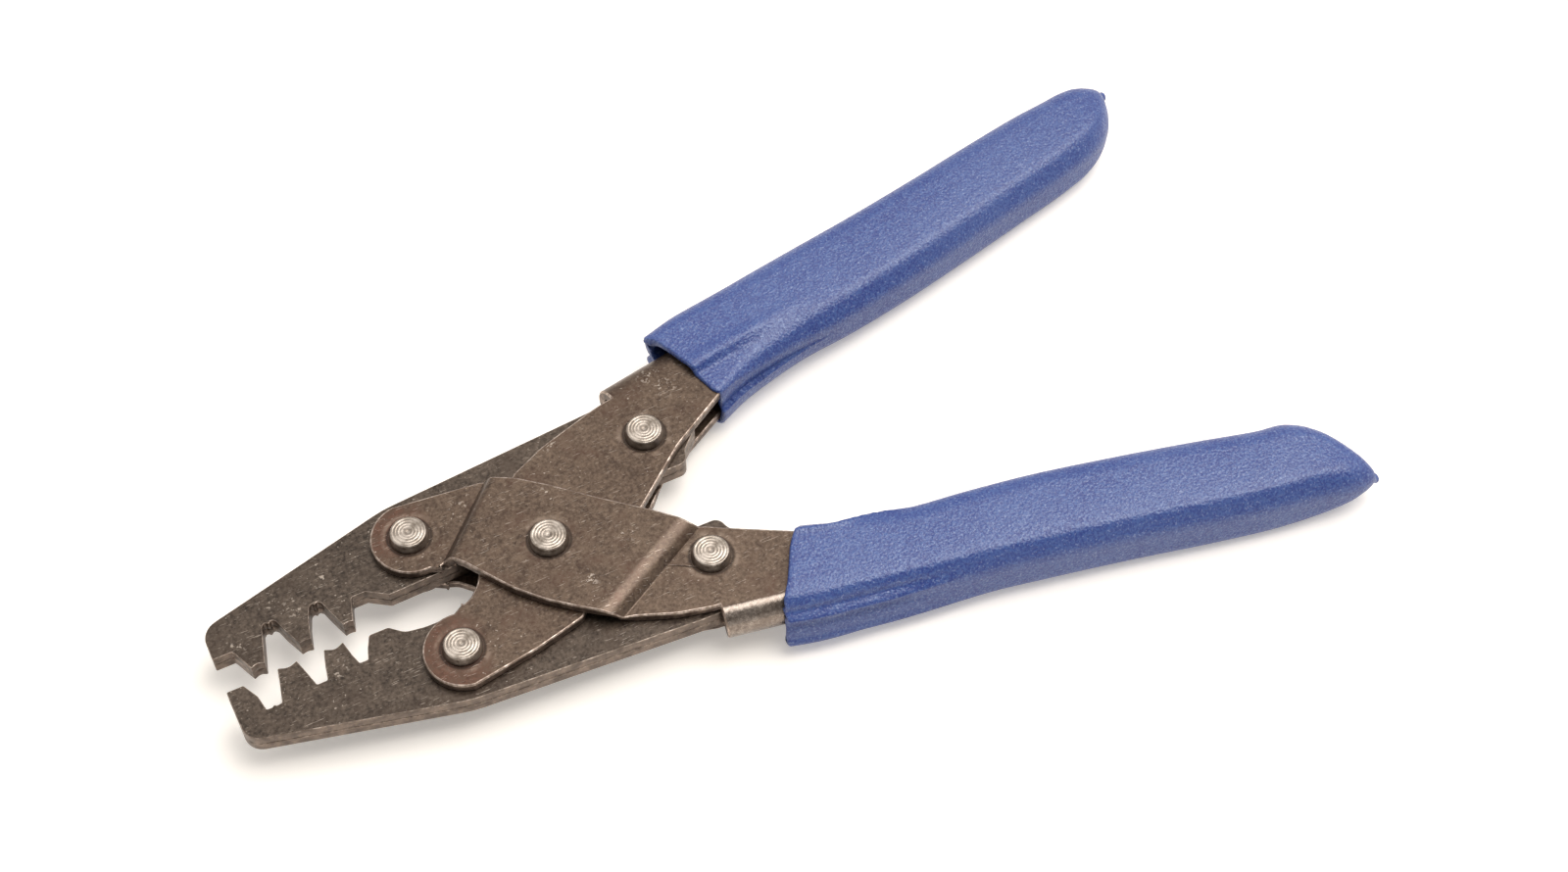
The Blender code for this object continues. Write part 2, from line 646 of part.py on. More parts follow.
rivet("centre_rivet", (0.0, 0.0), MID_OUT + RISE, MAT_RIVET)
rivet("upper_jaw_pivot_rivet", PT_A, MID_OUT, MAT_RIVET)
rivet("lower_jaw_pivot_rivet", PT_C, MID_OUT, MAT_RIVET)
rivet("upper_jaw_slot_rivet", PT_D, MID_OUT, MAT_RIVET)
rivet("lower_jaw_slot_rivet", PT_E, MID_OUT, MAT_RIVET)

sleeve("centre_spacer", (0.0, 0.0), BUSH_IN, SPACER_R, JAW_HALF, MAT_BUSH)
sleeve("upper_jaw_pivot_bush", PT_A, BUSH_IN, FRONT_BUSH_R, JAW_HALF, MAT_BUSH)
sleeve("lower_jaw_pivot_bush", PT_C, BUSH_IN, FRONT_BUSH_R, JAW_HALF, MAT_BUSH)
sleeve("upper_slot_bush", PT_D, BUSH_IN, SLOT_BUSH_R, JAW_HALF, MAT_BUSH)
sleeve("lower_slot_bush", PT_E, BUSH_IN, SLOT_BUSH_R, JAW_HALF, MAT_BUSH)

if cut_col.objects:
    for ob in cut_col.objects:
        ob.hide_render = True
        ob.display_type = "WIRE"
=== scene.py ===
import math

import bmesh
import bpy
import numpy as np
from mathutils import Matrix, Vector


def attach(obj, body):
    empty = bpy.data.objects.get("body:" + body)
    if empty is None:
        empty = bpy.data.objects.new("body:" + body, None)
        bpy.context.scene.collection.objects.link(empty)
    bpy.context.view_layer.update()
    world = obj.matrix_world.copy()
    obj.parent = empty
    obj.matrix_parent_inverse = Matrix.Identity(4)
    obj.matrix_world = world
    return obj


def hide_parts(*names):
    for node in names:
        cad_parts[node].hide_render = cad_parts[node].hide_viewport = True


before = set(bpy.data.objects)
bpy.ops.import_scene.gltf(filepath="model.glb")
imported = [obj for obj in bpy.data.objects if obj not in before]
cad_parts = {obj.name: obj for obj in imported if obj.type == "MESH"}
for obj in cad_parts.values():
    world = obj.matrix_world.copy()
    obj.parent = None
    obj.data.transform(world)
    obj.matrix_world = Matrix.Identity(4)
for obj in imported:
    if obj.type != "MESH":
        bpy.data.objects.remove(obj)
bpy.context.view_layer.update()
MM = 0.001

# ------------------------------------------------------------------ dimensions, mm
LINK_FRONT, LINK_REAR = 25.9, 29.55
JAW_HALF, SEAM, SHEET, SIDE_GAP = 2.10, 0.10, 1.90, 0.15
MID_IN = JAW_HALF + SIDE_GAP
MID_OUT = MID_IN + SHEET
MID = MID_IN + SHEET / 2.0
RISE = SHEET + SIDE_GAP
HEAD_R, HEAD_BASE_R, HEAD_H, HEAD_GAP = 3.31, 3.72, 1.75, 0.10
SHAFT_R, HOLE_R, JAW_HOLE_R, SLOT_HALF = 2.40, 2.55, 3.75, 3.45
MID_Z = MID_OUT + RISE + HEAD_GAP + HEAD_H
FOLD_X0, FOLD_X0_FLAT, FOLD_OUT_24, FOLD_SLOPE, CHANNEL_END = 22.6, 23.3, 29.4, 0.182, 122.0
GRIP_WALL = 1.30
LOBE_R, LOBE_DX, LOBE_DY = 7.65, 0.40, 0.20
CLOSE_HALF = 8.75
c30, s30 = math.cos(math.radians(30.0)), math.sin(math.radians(30.0))
PT_A = (-LINK_FRONT * c30, LINK_FRONT * s30)
PT_C = (-LINK_FRONT * c30, -LINK_FRONT * s30)
PT_D = (LINK_REAR * c30, LINK_REAR * s30)
PT_E = (LINK_REAR * c30, -LINK_REAR * s30)

# ------------------------------------------------------------------ camera, floor, light
cam_data = bpy.data.cameras.new("camera")
cam_data.lens = 61.88
cam_data.sensor_width = 36.0
cam_data.clip_start = 0.01
cam_data.clip_end = 20.0
cam = bpy.data.objects.new("camera", cam_data)
bpy.context.scene.collection.objects.link(cam)
cam.matrix_world = Matrix(((0.8992, 0.3640, -0.2429, -0.0738),
                           (-0.4376, 0.7480, -0.4991, -0.2493),
                           (0.0, 0.5551, 0.8318, 0.43255),
                           (0.0, 0.0, 0.0, 1.0)))
bpy.context.scene.camera = cam
bpy.context.scene.view_settings.view_transform = "Standard"

TILT = 0.0150            # the tool lies on its centre rivet and the grips' ends


def srgb(r, g, b):
    def f(c):
        c /= 255.0
        return c / 12.92 if c <= 0.04045 else ((c + 0.055) / 1.055) ** 2.4
    return (f(r), f(g), f(b), 1.0)


class Nodes:
    """Small helper that builds a node tree."""

    def __init__(self, name):
        self.mat = bpy.data.materials.new(name)
        self.mat.use_nodes = True
        self.t = self.mat.node_tree
        self.b = self.t.nodes["Principled BSDF"]
        self.obj = None

    def new(self, kind):
        return self.t.nodes.new(kind)

    def link(self, a, b):
        self.t.links.new(a, b)

    def put(self, sock, v):
        if isinstance(v, bpy.types.NodeSocket):
            self.link(v, sock)
        elif v is not None:
            sock.default_value = v

    def coord(self):
        if self.obj is None:
            self.obj = self.new("ShaderNodeTexCoord").outputs["Object"]
        return self.obj

    def mapping(self, vec=None, scale=(1, 1, 1), rot=(0, 0, 0), loc=(0, 0, 0)):
        m = self.new("ShaderNodeMapping")
        self.put(m.inputs["Vector"], vec or self.coord())
        m.inputs["Scale"].default_value = scale
        m.inputs["Rotation"].default_value = rot
        m.inputs["Location"].default_value = loc
        return m.outputs["Vector"]

    def noise(self, scale, detail=2.0, rough=0.5, vec=None, distortion=0.0):
        n = self.new("ShaderNodeTexNoise")
        self.put(n.inputs["Vector"], vec or self.coord())
        n.inputs["Scale"].default_value = scale
        n.inputs["Detail"].default_value = detail
        n.inputs["Roughness"].default_value = rough
        n.inputs["Distortion"].default_value = distortion
        return n.outputs["Fac"]

    def voronoi(self, scale, vec=None, feature="F1", out="Distance", random=1.0):
        n = self.new("ShaderNodeTexVoronoi")
        n.feature = feature
        self.put(n.inputs["Vector"], vec or self.coord())
        n.inputs["Scale"].default_value = scale
        n.inputs["Randomness"].default_value = random
        return n.outputs[out]

    def rng(self, v, a, b, c=0.0, d=1.0, smooth=True):
        m = self.new("ShaderNodeMapRange")
        m.interpolation_type = "SMOOTHSTEP" if smooth else "LINEAR"
        self.put(m.inputs["Value"], v)
        m.inputs["From Min"].default_value = a
        m.inputs["From Max"].default_value = b
        m.inputs["To Min"].default_value = c
        m.inputs["To Max"].default_value = d
        return m.outputs["Result"]

    def math(self, op, a, b=None, c=None, clamp=False):
        m = self.new("ShaderNodeMath")
        m.operation = op
        m.use_clamp = clamp
        self.put(m.inputs[0], a)
        self.put(m.inputs[1], b)
        self.put(m.inputs[2], c)
        return m.outputs[0]

    def mix(self, fac, a, b, blend="MIX"):
        m = self.new("ShaderNodeMix")
        m.data_type = "RGBA"
        m.blend_type = blend
        self.put(m.inputs["Factor"], fac)
        self.put(m.inputs[6], a)
        self.put(m.inputs[7], b)
        return m.outputs[2]

    def dist(self, point):
        """Distance in metres from a point given in mm, in the piece's own frame."""
        v = self.new("ShaderNodeVectorMath")
        v.operation = "DISTANCE"
        self.link(self.coord(), v.inputs[0])
        v.inputs[1].default_value = [p * MM for p in point]
        return v.outputs["Value"]

    def axis_dist(self, point):
        """Distance in metres from an upright axis through a point given in mm."""
        v = self.new("ShaderNodeVectorMath")
        v.operation = "DISTANCE"
        self.link(self.mapping(scale=(1, 1, 0)), v.inputs[0])
        v.inputs[1].default_value = (point[0] * MM, point[1] * MM, 0.0)
        return v.outputs["Value"]

    def bump(self, height, strength, distance, normal=None):
        n = self.new("ShaderNodeBump")
        n.inputs["Strength"].default_value = strength
        n.inputs["Distance"].default_value = distance
        self.put(n.inputs["Height"], height)
        self.put(n.inputs["Normal"], normal)
        return n.outputs["Normal"]

    def scratches(self, angle, length, width, seed, lo, hi):
        """Short straight scratches: a stretched noise, cut high."""
        v = self.mapping(scale=(1.0 / (length * MM), 1.0 / (width * MM), 1.0 / (4 * MM)),
                         rot=(0, 0, math.radians(angle)), loc=(seed, seed * 1.7, seed * 0.3))
        return self.rng(self.noise(1.0, 1.0, 0.5, vec=v), lo, hi)


def blob_mask(n, points, r0, r1):
    """1 near any of the given points (mm), fading from r0 to r1 mm."""
    total = None
    for p in points:
        m = n.rng(n.dist(p), r0 * MM, r1 * MM, 1.0, 0.0)
        total = m if total is None else n.math("MAXIMUM", total, m)
    return total


def oxide_steel(name, tint_points=(), nick_points=(), dark=srgb(72, 57, 47), light=srgb(111, 93, 78),
                red=srgb(106, 74, 60), rivets=(), rough=(0.32, 0.50)):
    n = Nodes(name)
    broad = n.noise(60.0, 3.0, 0.55)
    mottle = n.noise(330.0, 4.0, 0.62)
    grain = n.noise(1500.0, 3.0, 0.7)
    f = n.math("ADD", n.math("MULTIPLY", mottle, 0.20), n.math("MULTIPLY", grain, 0.62))
    f = n.math("ADD", f, n.math("MULTIPLY", broad, 0.18))
    col = n.mix(n.rng(f, 0.39, 0.61, smooth=False), dark, light)
    rust = n.noise(150.0, 3.0, 0.6)
    col = n.mix(n.rng(rust, 0.46, 0.70, 0.0, 0.30), col, n.mix(n.rng(grain, 0.35, 0.65), red, dark))
    if tint_points:
        m = blob_mask(n, tint_points, 3.6, 8.6)
        m = n.math("MULTIPLY", m, n.rng(mottle, 0.3, 0.62, 0.30, 0.85))
        col = n.mix(m, col, n.mix(n.rng(grain, 0.35, 0.65), red, srgb(78, 52, 41)))
    for p in rivets:
        # grime and painted contact shade gathered round the head, and a paler rubbed ring outside it
        r = n.axis_dist(p)
        grime_and_contact_shade = n.math("MULTIPLY", n.rng(r, 3.6 * MM, 4.0 * MM), n.rng(r, 4.05 * MM, 4.45 * MM, 1.0, 0.0))
        col = n.mix(n.math("MULTIPLY", grime_and_contact_shade, 0.75), col, srgb(36, 27, 21))
        rub = n.math("MULTIPLY", n.rng(r, 4.3 * MM, 4.6 * MM), n.rng(r, 4.8 * MM, 5.6 * MM, 1.0, 0.0))
        col = n.mix(n.math("MULTIPLY", rub, n.rng(mottle, 0.42, 0.66, 0.0, 0.5)), col, srgb(146, 128, 113))
    # bright specks where the oxide is chipped, denser in patches
    patch = n.noise(95.0, 2.0, 0.6)
    speck = n.rng(n.noise(1700.0, 1.0, 0.4), 0.715, 0.78)
    speck = n.math("MULTIPLY", speck, n.rng(patch, 0.45, 0.62, 0.3, 1.0))
    if nick_points:
        near = blob_mask(n, nick_points, 0.6, 3.0)
        nick = n.rng(n.noise(1100.0, 2.0, 0.6), 0.58, 0.66)
        speck = n.math("MAXIMUM", speck, n.math("MULTIPLY", near, nick))
    scr = n.math("MAXIMUM", n.scratches(24, 2.8, 0.19, 3.1, 0.70, 0.78), n.scratches(-52, 2.0, 0.17, 7.7, 0.71, 0.79))
    scr = n.math("MAXIMUM", scr, n.scratches(81, 1.7, 0.16, 12.4, 0.72, 0.80))
    scr = n.math("MAXIMUM", scr, n.scratches(5, 3.6, 0.15, 21.0, 0.72, 0.80))
    bare = n.math("MAXIMUM", speck, n.math("MULTIPLY", scr, 0.75))
    col = n.mix(n.math("MULTIPLY", bare, 0.70), col, srgb(188, 174, 160))
    n.put(n.b.inputs["Base Color"], col)
    n.put(n.b.inputs["Metallic"], n.rng(bare, 0.0, 1.0, 0.72, 0.92, smooth=False))
    n.b.inputs["Specular IOR Level"].default_value = 0.3
    # a thin film of oil over the oxide
    n.b.inputs["Coat Weight"].default_value = 0.25
    n.b.inputs["Coat Roughness"].default_value = 0.22
    r = n.math("ADD", n.rng(mottle, 0.3, 0.7, rough[0], rough[1], smooth=False), n.rng(grain, 0.3, 0.7, -0.06, 0.06, smooth=False))
    n.put(n.b.inputs["Roughness"], r)
    h = n.math("ADD", n.math("MULTIPLY", grain, 0.8), n.math("MULTIPLY", mottle, 0.9))
    h = n.math("SUBTRACT", h, n.math("MULTIPLY", bare, 0.5))
    n.put(n.b.inputs["Normal"], n.bump(h, 0.30, 0.00005))
    return n.mat


def edge_wear_and_highlight(name, bare=srgb(212, 194, 180), skin=srgb(116, 97, 84), share=(0.30, 0.62), rough=(0.30, 0.46)):
    """Sheared and rubbed edge of the oxide steel; a bright bare colour also serves as a painted highlight along the
    edge.
    """
    n = Nodes(name)
    m = n.rng(n.noise(460.0, 4.0, 0.65), share[0], share[1])
    g = n.noise(1500.0, 2.0, 0.6)
    col = n.mix(m, skin, n.mix(n.rng(g, 0.3, 0.7), bare, srgb(140, 123, 111)))
    n.put(n.b.inputs["Base Color"], col)
    n.put(n.b.inputs["Metallic"], n.rng(m, 0, 1, 0.65, 0.88, smooth=False))
    n.put(n.b.inputs["Roughness"], n.rng(g, 0.3, 0.7, rough[0], rough[1], smooth=False))
    v = n.mapping(scale=(1300.0, 1300.0, 220.0))
    n.put(n.b.inputs["Normal"], n.bump(n.noise(1.0, 2.0, 0.6, vec=v), 0.45, 0.00006))
    return n.mat


def rivet_steel(name):
    """Bright turned steel; the piece's origin is on its axis."""
    n = Nodes(name)
    r = n.axis_dist((0.0, 0.0))
    wob = n.noise(260.0, 2.0, 0.5)
    ph = n.math("ADD", n.math("MULTIPLY", r, 2 * math.pi / (0.60 * MM)), n.math("MULTIPLY", wob, 2.4))
    ring = n.math("SINE", ph)
    fine = n.noise(1500.0, 3.0, 0.6)
    blot = n.noise(430.0, 3.0, 0.6)
    col = n.mix(n.rng(blot, 0.34, 0.66), srgb(146, 134, 122), srgb(204, 192, 180))
    col = n.mix(n.math("MULTIPLY", n.rng(fine, 0.54, 0.70), 0.40), col, srgb(108, 95, 85))
    col = n.mix(n.rng(ring, 0.1, 1.0, 0.0, 0.34), col, srgb(106, 94, 84))
    # darker turned rim, a dark ring round the centre nib
    rim = n.rng(r, 3.05 * MM, 3.45 * MM)
    col = n.mix(n.math("MULTIPLY", rim, 0.45), col, srgb(92, 78, 68))
    nib = n.math("MULTIPLY", n.rng(r, 0.20 * MM, 0.40 * MM), n.rng(r, 0.50 * MM, 0.95 * MM, 1.0, 0.0))
    col = n.mix(n.math("MULTIPLY", nib, 0.40), col, srgb(88, 76, 67))
    n.put(n.b.inputs["Base Color"], col)
    n.b.inputs["Metallic"].default_value = 0.9
    n.put(n.b.inputs["Roughness"], n.rng(blot, 0.3, 0.7, 0.26, 0.42, smooth=False))
    h = n.math("ADD", n.math("MULTIPLY", ring, 0.55), n.math("MULTIPLY", fine, 0.7))
    n.put(n.b.inputs["Normal"], n.bump(h, 0.42, 0.00005))
    return n.mat


def bush_steel(name):
    n = Nodes(name)
    g = n.noise(900.0, 3.0, 0.6)
    n.put(n.b.inputs["Base Color"], n.mix(g, srgb(96, 92, 88), srgb(150, 146, 140)))
    n.b.inputs["Metallic"].default_value = 0.95
    n.put(n.b.inputs["Roughness"], n.rng(g, 0.3, 0.7, 0.28, 0.42, smooth=False))
    n.put(n.b.inputs["Normal"], n.bump(n.noise(1.0, 2.0, 0.5, vec=n.mapping(scale=(300, 300, 5200))), 0.3, 0.00003))
    return n.mat


def vinyl(name, deep=srgb(14, 44, 122), face=srgb(56, 84, 146)):
    """Dipped vinyl with a fine pebbled skin and a dusty bloom on the pebbles' tops."""
    n = Nodes(name)
    peb = n.voronoi(1900.0, feature="SMOOTH_F1")
    fine = n.noise(2300.0, 2.0, 0.65)
    mid = n.noise(420.0, 3.0, 0.6)
    broad = n.noise(60.0, 3.0, 0.55)
    f = n.math("ADD", n.math("MULTIPLY", fine, 0.80), n.math("MULTIPLY", mid, 0.20))
    col = n.mix(n.rng(f, 0.43, 0.57, smooth=False), deep, face)
    col = n.mix(n.rng(broad, 0.38, 0.66, 0.0, 0.16), col, srgb(84, 106, 160))
    dust = n.rng(n.noise(2200.0, 1.0, 0.5), 0.60, 0.72, 0.0, 0.36)
    col = n.mix(dust, col, srgb(150, 164, 200))
    n.put(n.b.inputs["Base Color"], col)
    n.b.inputs["Metallic"].default_value = 0.0
    n.put(n.b.inputs["Roughness"], n.rng(fine, 0.35, 0.65, 0.48, 0.34, smooth=False))
    n.b.inputs["Specular IOR Level"].default_value = 0.72
    n.b.inputs["IOR"].default_value = 1.55
    h = n.math("ADD", n.math("MULTIPLY", peb, 0.8), n.math("MULTIPLY", fine, 1.0))
    n.put(n.b.inputs["Normal"], n.bump(h, 0.70, 0.00016))
    return n.mat


M_HANDLE_L = oxide_steel("oxide_steel_lower", rivets=[(0, 0), PT_A, PT_E],
                         tint_points=[(PT_A[0] - 2.5, PT_A[1] + 3.0, MID_Z + 4)],
                         nick_points=[(3.0, -10.7, MID_Z + 6), (-11.8, 14.6, MID_Z + 5), (4.0, 9.0, MID_Z + 6),
                                      (13.5, -4.5, MID_Z + 6)])
M_HANDLE_U = oxide_steel("oxide_steel_upper", rivets=[PT_C, PT_D],
                         tint_points=[(PT_C[0] - 2.0, PT_C[1] + 1.5, MID_Z + 4), (PT_C[0] - 3.0, PT_C[1] - 3.5, MID_Z + 4)],
                         nick_points=[(8.5, 21.0, MID_Z + 4), (31.5, 27.0, MID_Z + 4), (33.5, 23.0, MID_Z + 4)])
# lighter, smoother steel for the lower handle's fold: rubbed wear and a painted highlight
M_FOLD_WEAR_AND_HIGHLIGHT = oxide_steel("fold_steel_rubbed_and_painted_highlight", dark=srgb(108, 95, 86), light=srgb(162, 149, 138), red=srgb(124, 107, 95),
                     rough=(0.20, 0.30))
# rounded sheet edges, brighter than the plate: rubbed wear and a painted highlight
M_EDGE_WEAR_AND_HIGHLIGHT = edge_wear_and_highlight("sheared_edge_steel_wear_and_highlight")
M_SIDE = edge_wear_and_highlight("sheared_side_steel", bare=srgb(128, 111, 99), skin=srgb(74, 60, 51), share=(0.36, 0.70),
                   rough=(0.36, 0.52))
M_JAW = oxide_steel("jaw_steel", nick_points=[(-46.5, 9.5, MID_Z + 2), (-50.0, 12.5, MID_Z + 2), (-40.0, 13.0, MID_Z + 2),
                                              (-58.5, 6.5, MID_Z + 2), (-44.0, -6.0, MID_Z + 2)],
                    dark=srgb(54, 45, 38), light=srgb(97, 84, 73), red=srgb(80, 62, 51))
# rounded jaw edges, bright bare colour: rubbed wear and a painted highlight
M_JAW_EDGE_WEAR_AND_HIGHLIGHT = edge_wear_and_highlight("jaw_edge_steel_wear_and_highlight", bare=srgb(196, 180, 166), skin=srgb(104, 90, 79), share=(0.34, 0.66))
M_JAW_SIDE = edge_wear_and_highlight("jaw_side_steel", bare=srgb(120, 105, 93), skin=srgb(82, 69, 59), share=(0.30, 0.70))
M_RIVET = rivet_steel("bright_rivet_steel")
M_BUSH = bush_steel("hardened_bush_steel")
M_GRIP_L = vinyl("blue_vinyl_lower")
M_GRIP_U = vinyl("blue_vinyl_upper")

fm = Nodes("floor_white")
fm.b.inputs["Base Color"].default_value = (0.88, 0.83, 0.77, 1.0)
fm.b.inputs["Emission Color"].default_value = (1.0, 0.965, 0.92, 1.0)
fm.b.inputs["Emission Strength"].default_value = 0.31
fm.b.inputs["Roughness"].default_value = 0.75
fm.b.inputs["Specular IOR Level"].default_value = 0.2
me = bpy.data.meshes.new("floor")
bm = bmesh.new()
bmesh.ops.create_grid(bm, x_segments=2, y_segments=2, size=3.0)
bm.to_mesh(me)
bm.free()
floor = bpy.data.objects.new("floor", me)
bpy.context.scene.collection.objects.link(floor)
floor.rotation_euler = (0.0, -math.atan(TILT), 0.0)
floor.location = (0.0, 0.0, -0.00005)
me.materials.append(fm.mat)

world = bpy.data.worlds.new("studio")
bpy.context.scene.world = world
world.use_nodes = True
wt = world.node_tree
bg = wt.nodes["Background"]
tc = wt.nodes.new("ShaderNodeTexCoord")


def world_dot(direction):
    d = wt.nodes.new("ShaderNodeVectorMath")
    d.operation = "DOT_PRODUCT"
    d.inputs[1].default_value = Vector(direction).normalized()
    wt.links.new(tc.outputs["Generated"], d.inputs[0])
    return d.outputs["Value"]


def world_range(sock, a, b, c, d):
    m = wt.nodes.new("ShaderNodeMapRange")
    m.interpolation_type = "SMOOTHSTEP"
    wt.links.new(sock, m.inputs["Value"])
    for key, v in zip(("From Min", "From Max", "To Min", "To Max"), (a, b, c, d)):
        m.inputs[key].default_value = v
    return m.outputs["Result"]


def world_math(op, a, b):
    m = wt.nodes.new("ShaderNodeMath")
    m.operation = op
    for sock, v in zip(m.inputs, (a, b)):
        if isinstance(v, bpy.types.NodeSocket):
            wt.links.new(v, sock)
        else:
            sock.default_value = v
    return m.outputs[0]


# a bright tent, a soft box overhead and a darker side where the tent is open towards the front
tent = world_range(world_dot((0.0, 0.0, 1.0)), -0.05, 0.45, 0.70, 0.84)
box = world_range(world_dot((0.36, -0.02, 0.93)), 0.885, 0.965, 0.0, 5.0)
opening = world_range(world_dot((0.40, -0.70, 0.60)), 0.88, 0.965, 1.0, 0.12)
front = world_range(world_dot((-0.25, -0.66, 0.70)), 0.81, 0.92, 1.0, 0.28)
left = world_range(world_dot((-0.66, -0.42, 0.62)), 0.86, 0.95, 1.0, 0.22)
dark = world_math("MULTIPLY", world_math("MULTIPLY", opening, front), left)
wt.links.new(world_math("MULTIPLY", world_math("ADD", tent, box), dark), bg.inputs["Strength"])
bg.inputs["Color"].default_value = (1.0, 0.985, 0.965, 1.0)



# ------------------------------------------------------------------ outline helpers
def rounded(points, seg_angle=7.0):
    out = []
    n = len(points)
    for i in range(n):
        p0 = Vector(points[i - 1][:2])
        p1 = Vector(points[i][:2])
        p2 = Vector(points[(i + 1) % n][:2])
        r = points[i][2] if len(points[i]) > 2 else 0.0
        if r <= 0.0:
            out.append((p1.x, p1.y))
            continue
        d0, d2 = p0 - p1, p2 - p1
        l0, l2 = d0.length, d2.length
        d0.normalize()
        d2.normalize()
        ang = math.acos(max(-1.0, min(1.0, d0.dot(d2))))
        if ang > math.radians(177.0):
            out.append((p1.x, p1.y))
            continue
        t = min(r / math.tan(ang / 2.0), 0.48 * l0, 0.48 * l2)
        rr = t * math.tan(ang / 2.0)
        a = p1 + d0 * t
        b = p1 + d2 * t
        centre = p1 + (d0 + d2).normalized() * (rr / math.sin(ang / 2.0))
        a0 = math.atan2(a.y - centre.y, a.x - centre.x)
        a1 = math.atan2(b.y - centre.y, b.x - centre.x)
        da = (a1 - a0 + math.pi) % (2.0 * math.pi) - math.pi
        k = max(1, int(math.ceil(abs(math.degrees(da)) / seg_angle)))
        k = max(1, min(k, int(abs(da) * rr / 0.10) + 1))
        for j in range(k + 1):
            w = a0 + da * j / k
            out.append((centre.x + rr * math.cos(w), centre.y + rr * math.sin(w)))
    return out


def arc(centre, r, a0, a1, n):
    return [(centre[0] + r * math.cos(math.radians(a0 + (a1 - a0) * i / n)),
             centre[1] + r * math.sin(math.radians(a0 + (a1 - a0) * i / n)))
            for i in range(n + 1)]


def circle(centre, r, n=56):
    return [(centre[0] + r * math.cos(2 * math.pi * i / n),
             centre[1] + r * math.sin(2 * math.pi * i / n)) for i in range(n)]


def stadium(p, q, r, n=16):
    a = math.degrees(math.atan2(q[1] - p[1], q[0] - p[0]))
    return arc(q, r, a - 90, a + 90, n) + arc(p, r, a + 90, a + 270, n)


def flip_y(pts):
    return [(x, -y) + tuple(rest) for x, y, *rest in pts]


def link(ob):
    bpy.context.scene.collection.objects.link(ob)
    return ob


def apply_modifiers(ob):
    bpy.context.view_layer.update()
    m = bpy.data.meshes.new_from_object(ob.evaluated_get(bpy.context.evaluated_depsgraph_get()))
    old = ob.data
    ob.modifiers.clear()
    ob.data = m
    m.name = ob.name
    if old.users == 0:
        bpy.data.meshes.remove(old)
    return ob


def drill(ob, centre, r, n=56):
    m = bpy.data.meshes.new("drill")
    b = bmesh.new()
    bmesh.ops.create_cone(b, cap_ends=True, segments=n, radius1=r * MM, radius2=r * MM, depth=60 * MM)
    b.to_mesh(m)
    b.free()
    c = link(bpy.data.objects.new("drill", m))
    c.location = (centre[0] * MM, centre[1] * MM, 0.0)
    mod = ob.modifiers.new("cut", "BOOLEAN")
    mod.operation = "DIFFERENCE"
    mod.solver = "EXACT"
    mod.object = c
    apply_modifiers(ob)
    bpy.data.objects.remove(c, do_unlink=True)
    return ob


def edge_round(ob, width, segments=3, angle=50.0, material=1, marked=False):
    b = ob.modifiers.new("edges", "BEVEL")
    b.width = width * MM
    b.segments = segments
    b.limit_method = "WEIGHT" if marked else "ANGLE"
    b.angle_limit = math.radians(angle)
    b.material = material
    b.use_clamp_overlap = False
    b.miter_outer = "MITER_SHARP"
    b.loop_slide = False
    apply_modifiers(ob)
    ob.data.shade_smooth()
    w = ob.modifiers.new("normals", "WEIGHTED_NORMAL")
    w.mode = "FACE_AREA"
    w.weight = 80
    w.keep_sharp = False
    apply_modifiers(ob)
    return ob


# ------------------------------------------------------------------ handles
def fold_out(x):
    return FOLD_OUT_24 + FOLD_SLOPE * (x - 24.0)


FOLD_R, FOLD_MID_R, FOLD_ANG = MID_OUT, MID, math.atan(FOLD_SLOPE)


def fold_line(x):
    return fold_out(x) - FOLD_R / math.cos(FOLD_ANG)


INNER_EDGE = [(43.4, 17.6), (50.0, 20.7), (60.0, 23.7), (72.0, 25.3), (84.0, 27.7),
              (102.0, 32.1), (CHANNEL_END, 37.3)]


def flat_plate_full():
    c = (PT_C[0] + LOBE_DX, PT_C[1] - LOBE_DY)
    pts = arc(c, LOBE_R, 83.0, 262.0, 44)
    pts += [(-10.6, -18.85), (-5.2, -17.6)]
    tail = [(-5.2, -17.6, 0), (-0.4, -16.4, 2.2), (5.0, -10.0, 9.0), (12.0, -4.6, 6.0), (19.0, 0.6, 4.0),
            (30.4, 9.9, 10.0)]
    r = rounded([(-14.0, -19.4, 0)] + tail + [(42.2, 17.0, 0)])
    pts += r[2:-1]
    pts += INNER_EDGE
    pts.append(("fold", CHANNEL_END))
    pts.append(("fold", FOLD_X0_FLAT))
    t = rounded([(FOLD_X0_FLAT, fold_line(FOLD_X0_FLAT), 0), (22.0, 24.9, 0.9), (17.4, 23.75, 8.0),
                 (7.0, 20.6, 12.0), (0.0, 17.3, 3.0), (-4.5, 12.6, 6.0), (-9.0, 6.8, 8.0),
                 (-13.2, 1.6, 5.0), (-15.0, -1.6, 4.0), (-17.2, -3.9, 4.0), (-20.0, -4.95, 5.0)])
    return pts + t[1:-1]


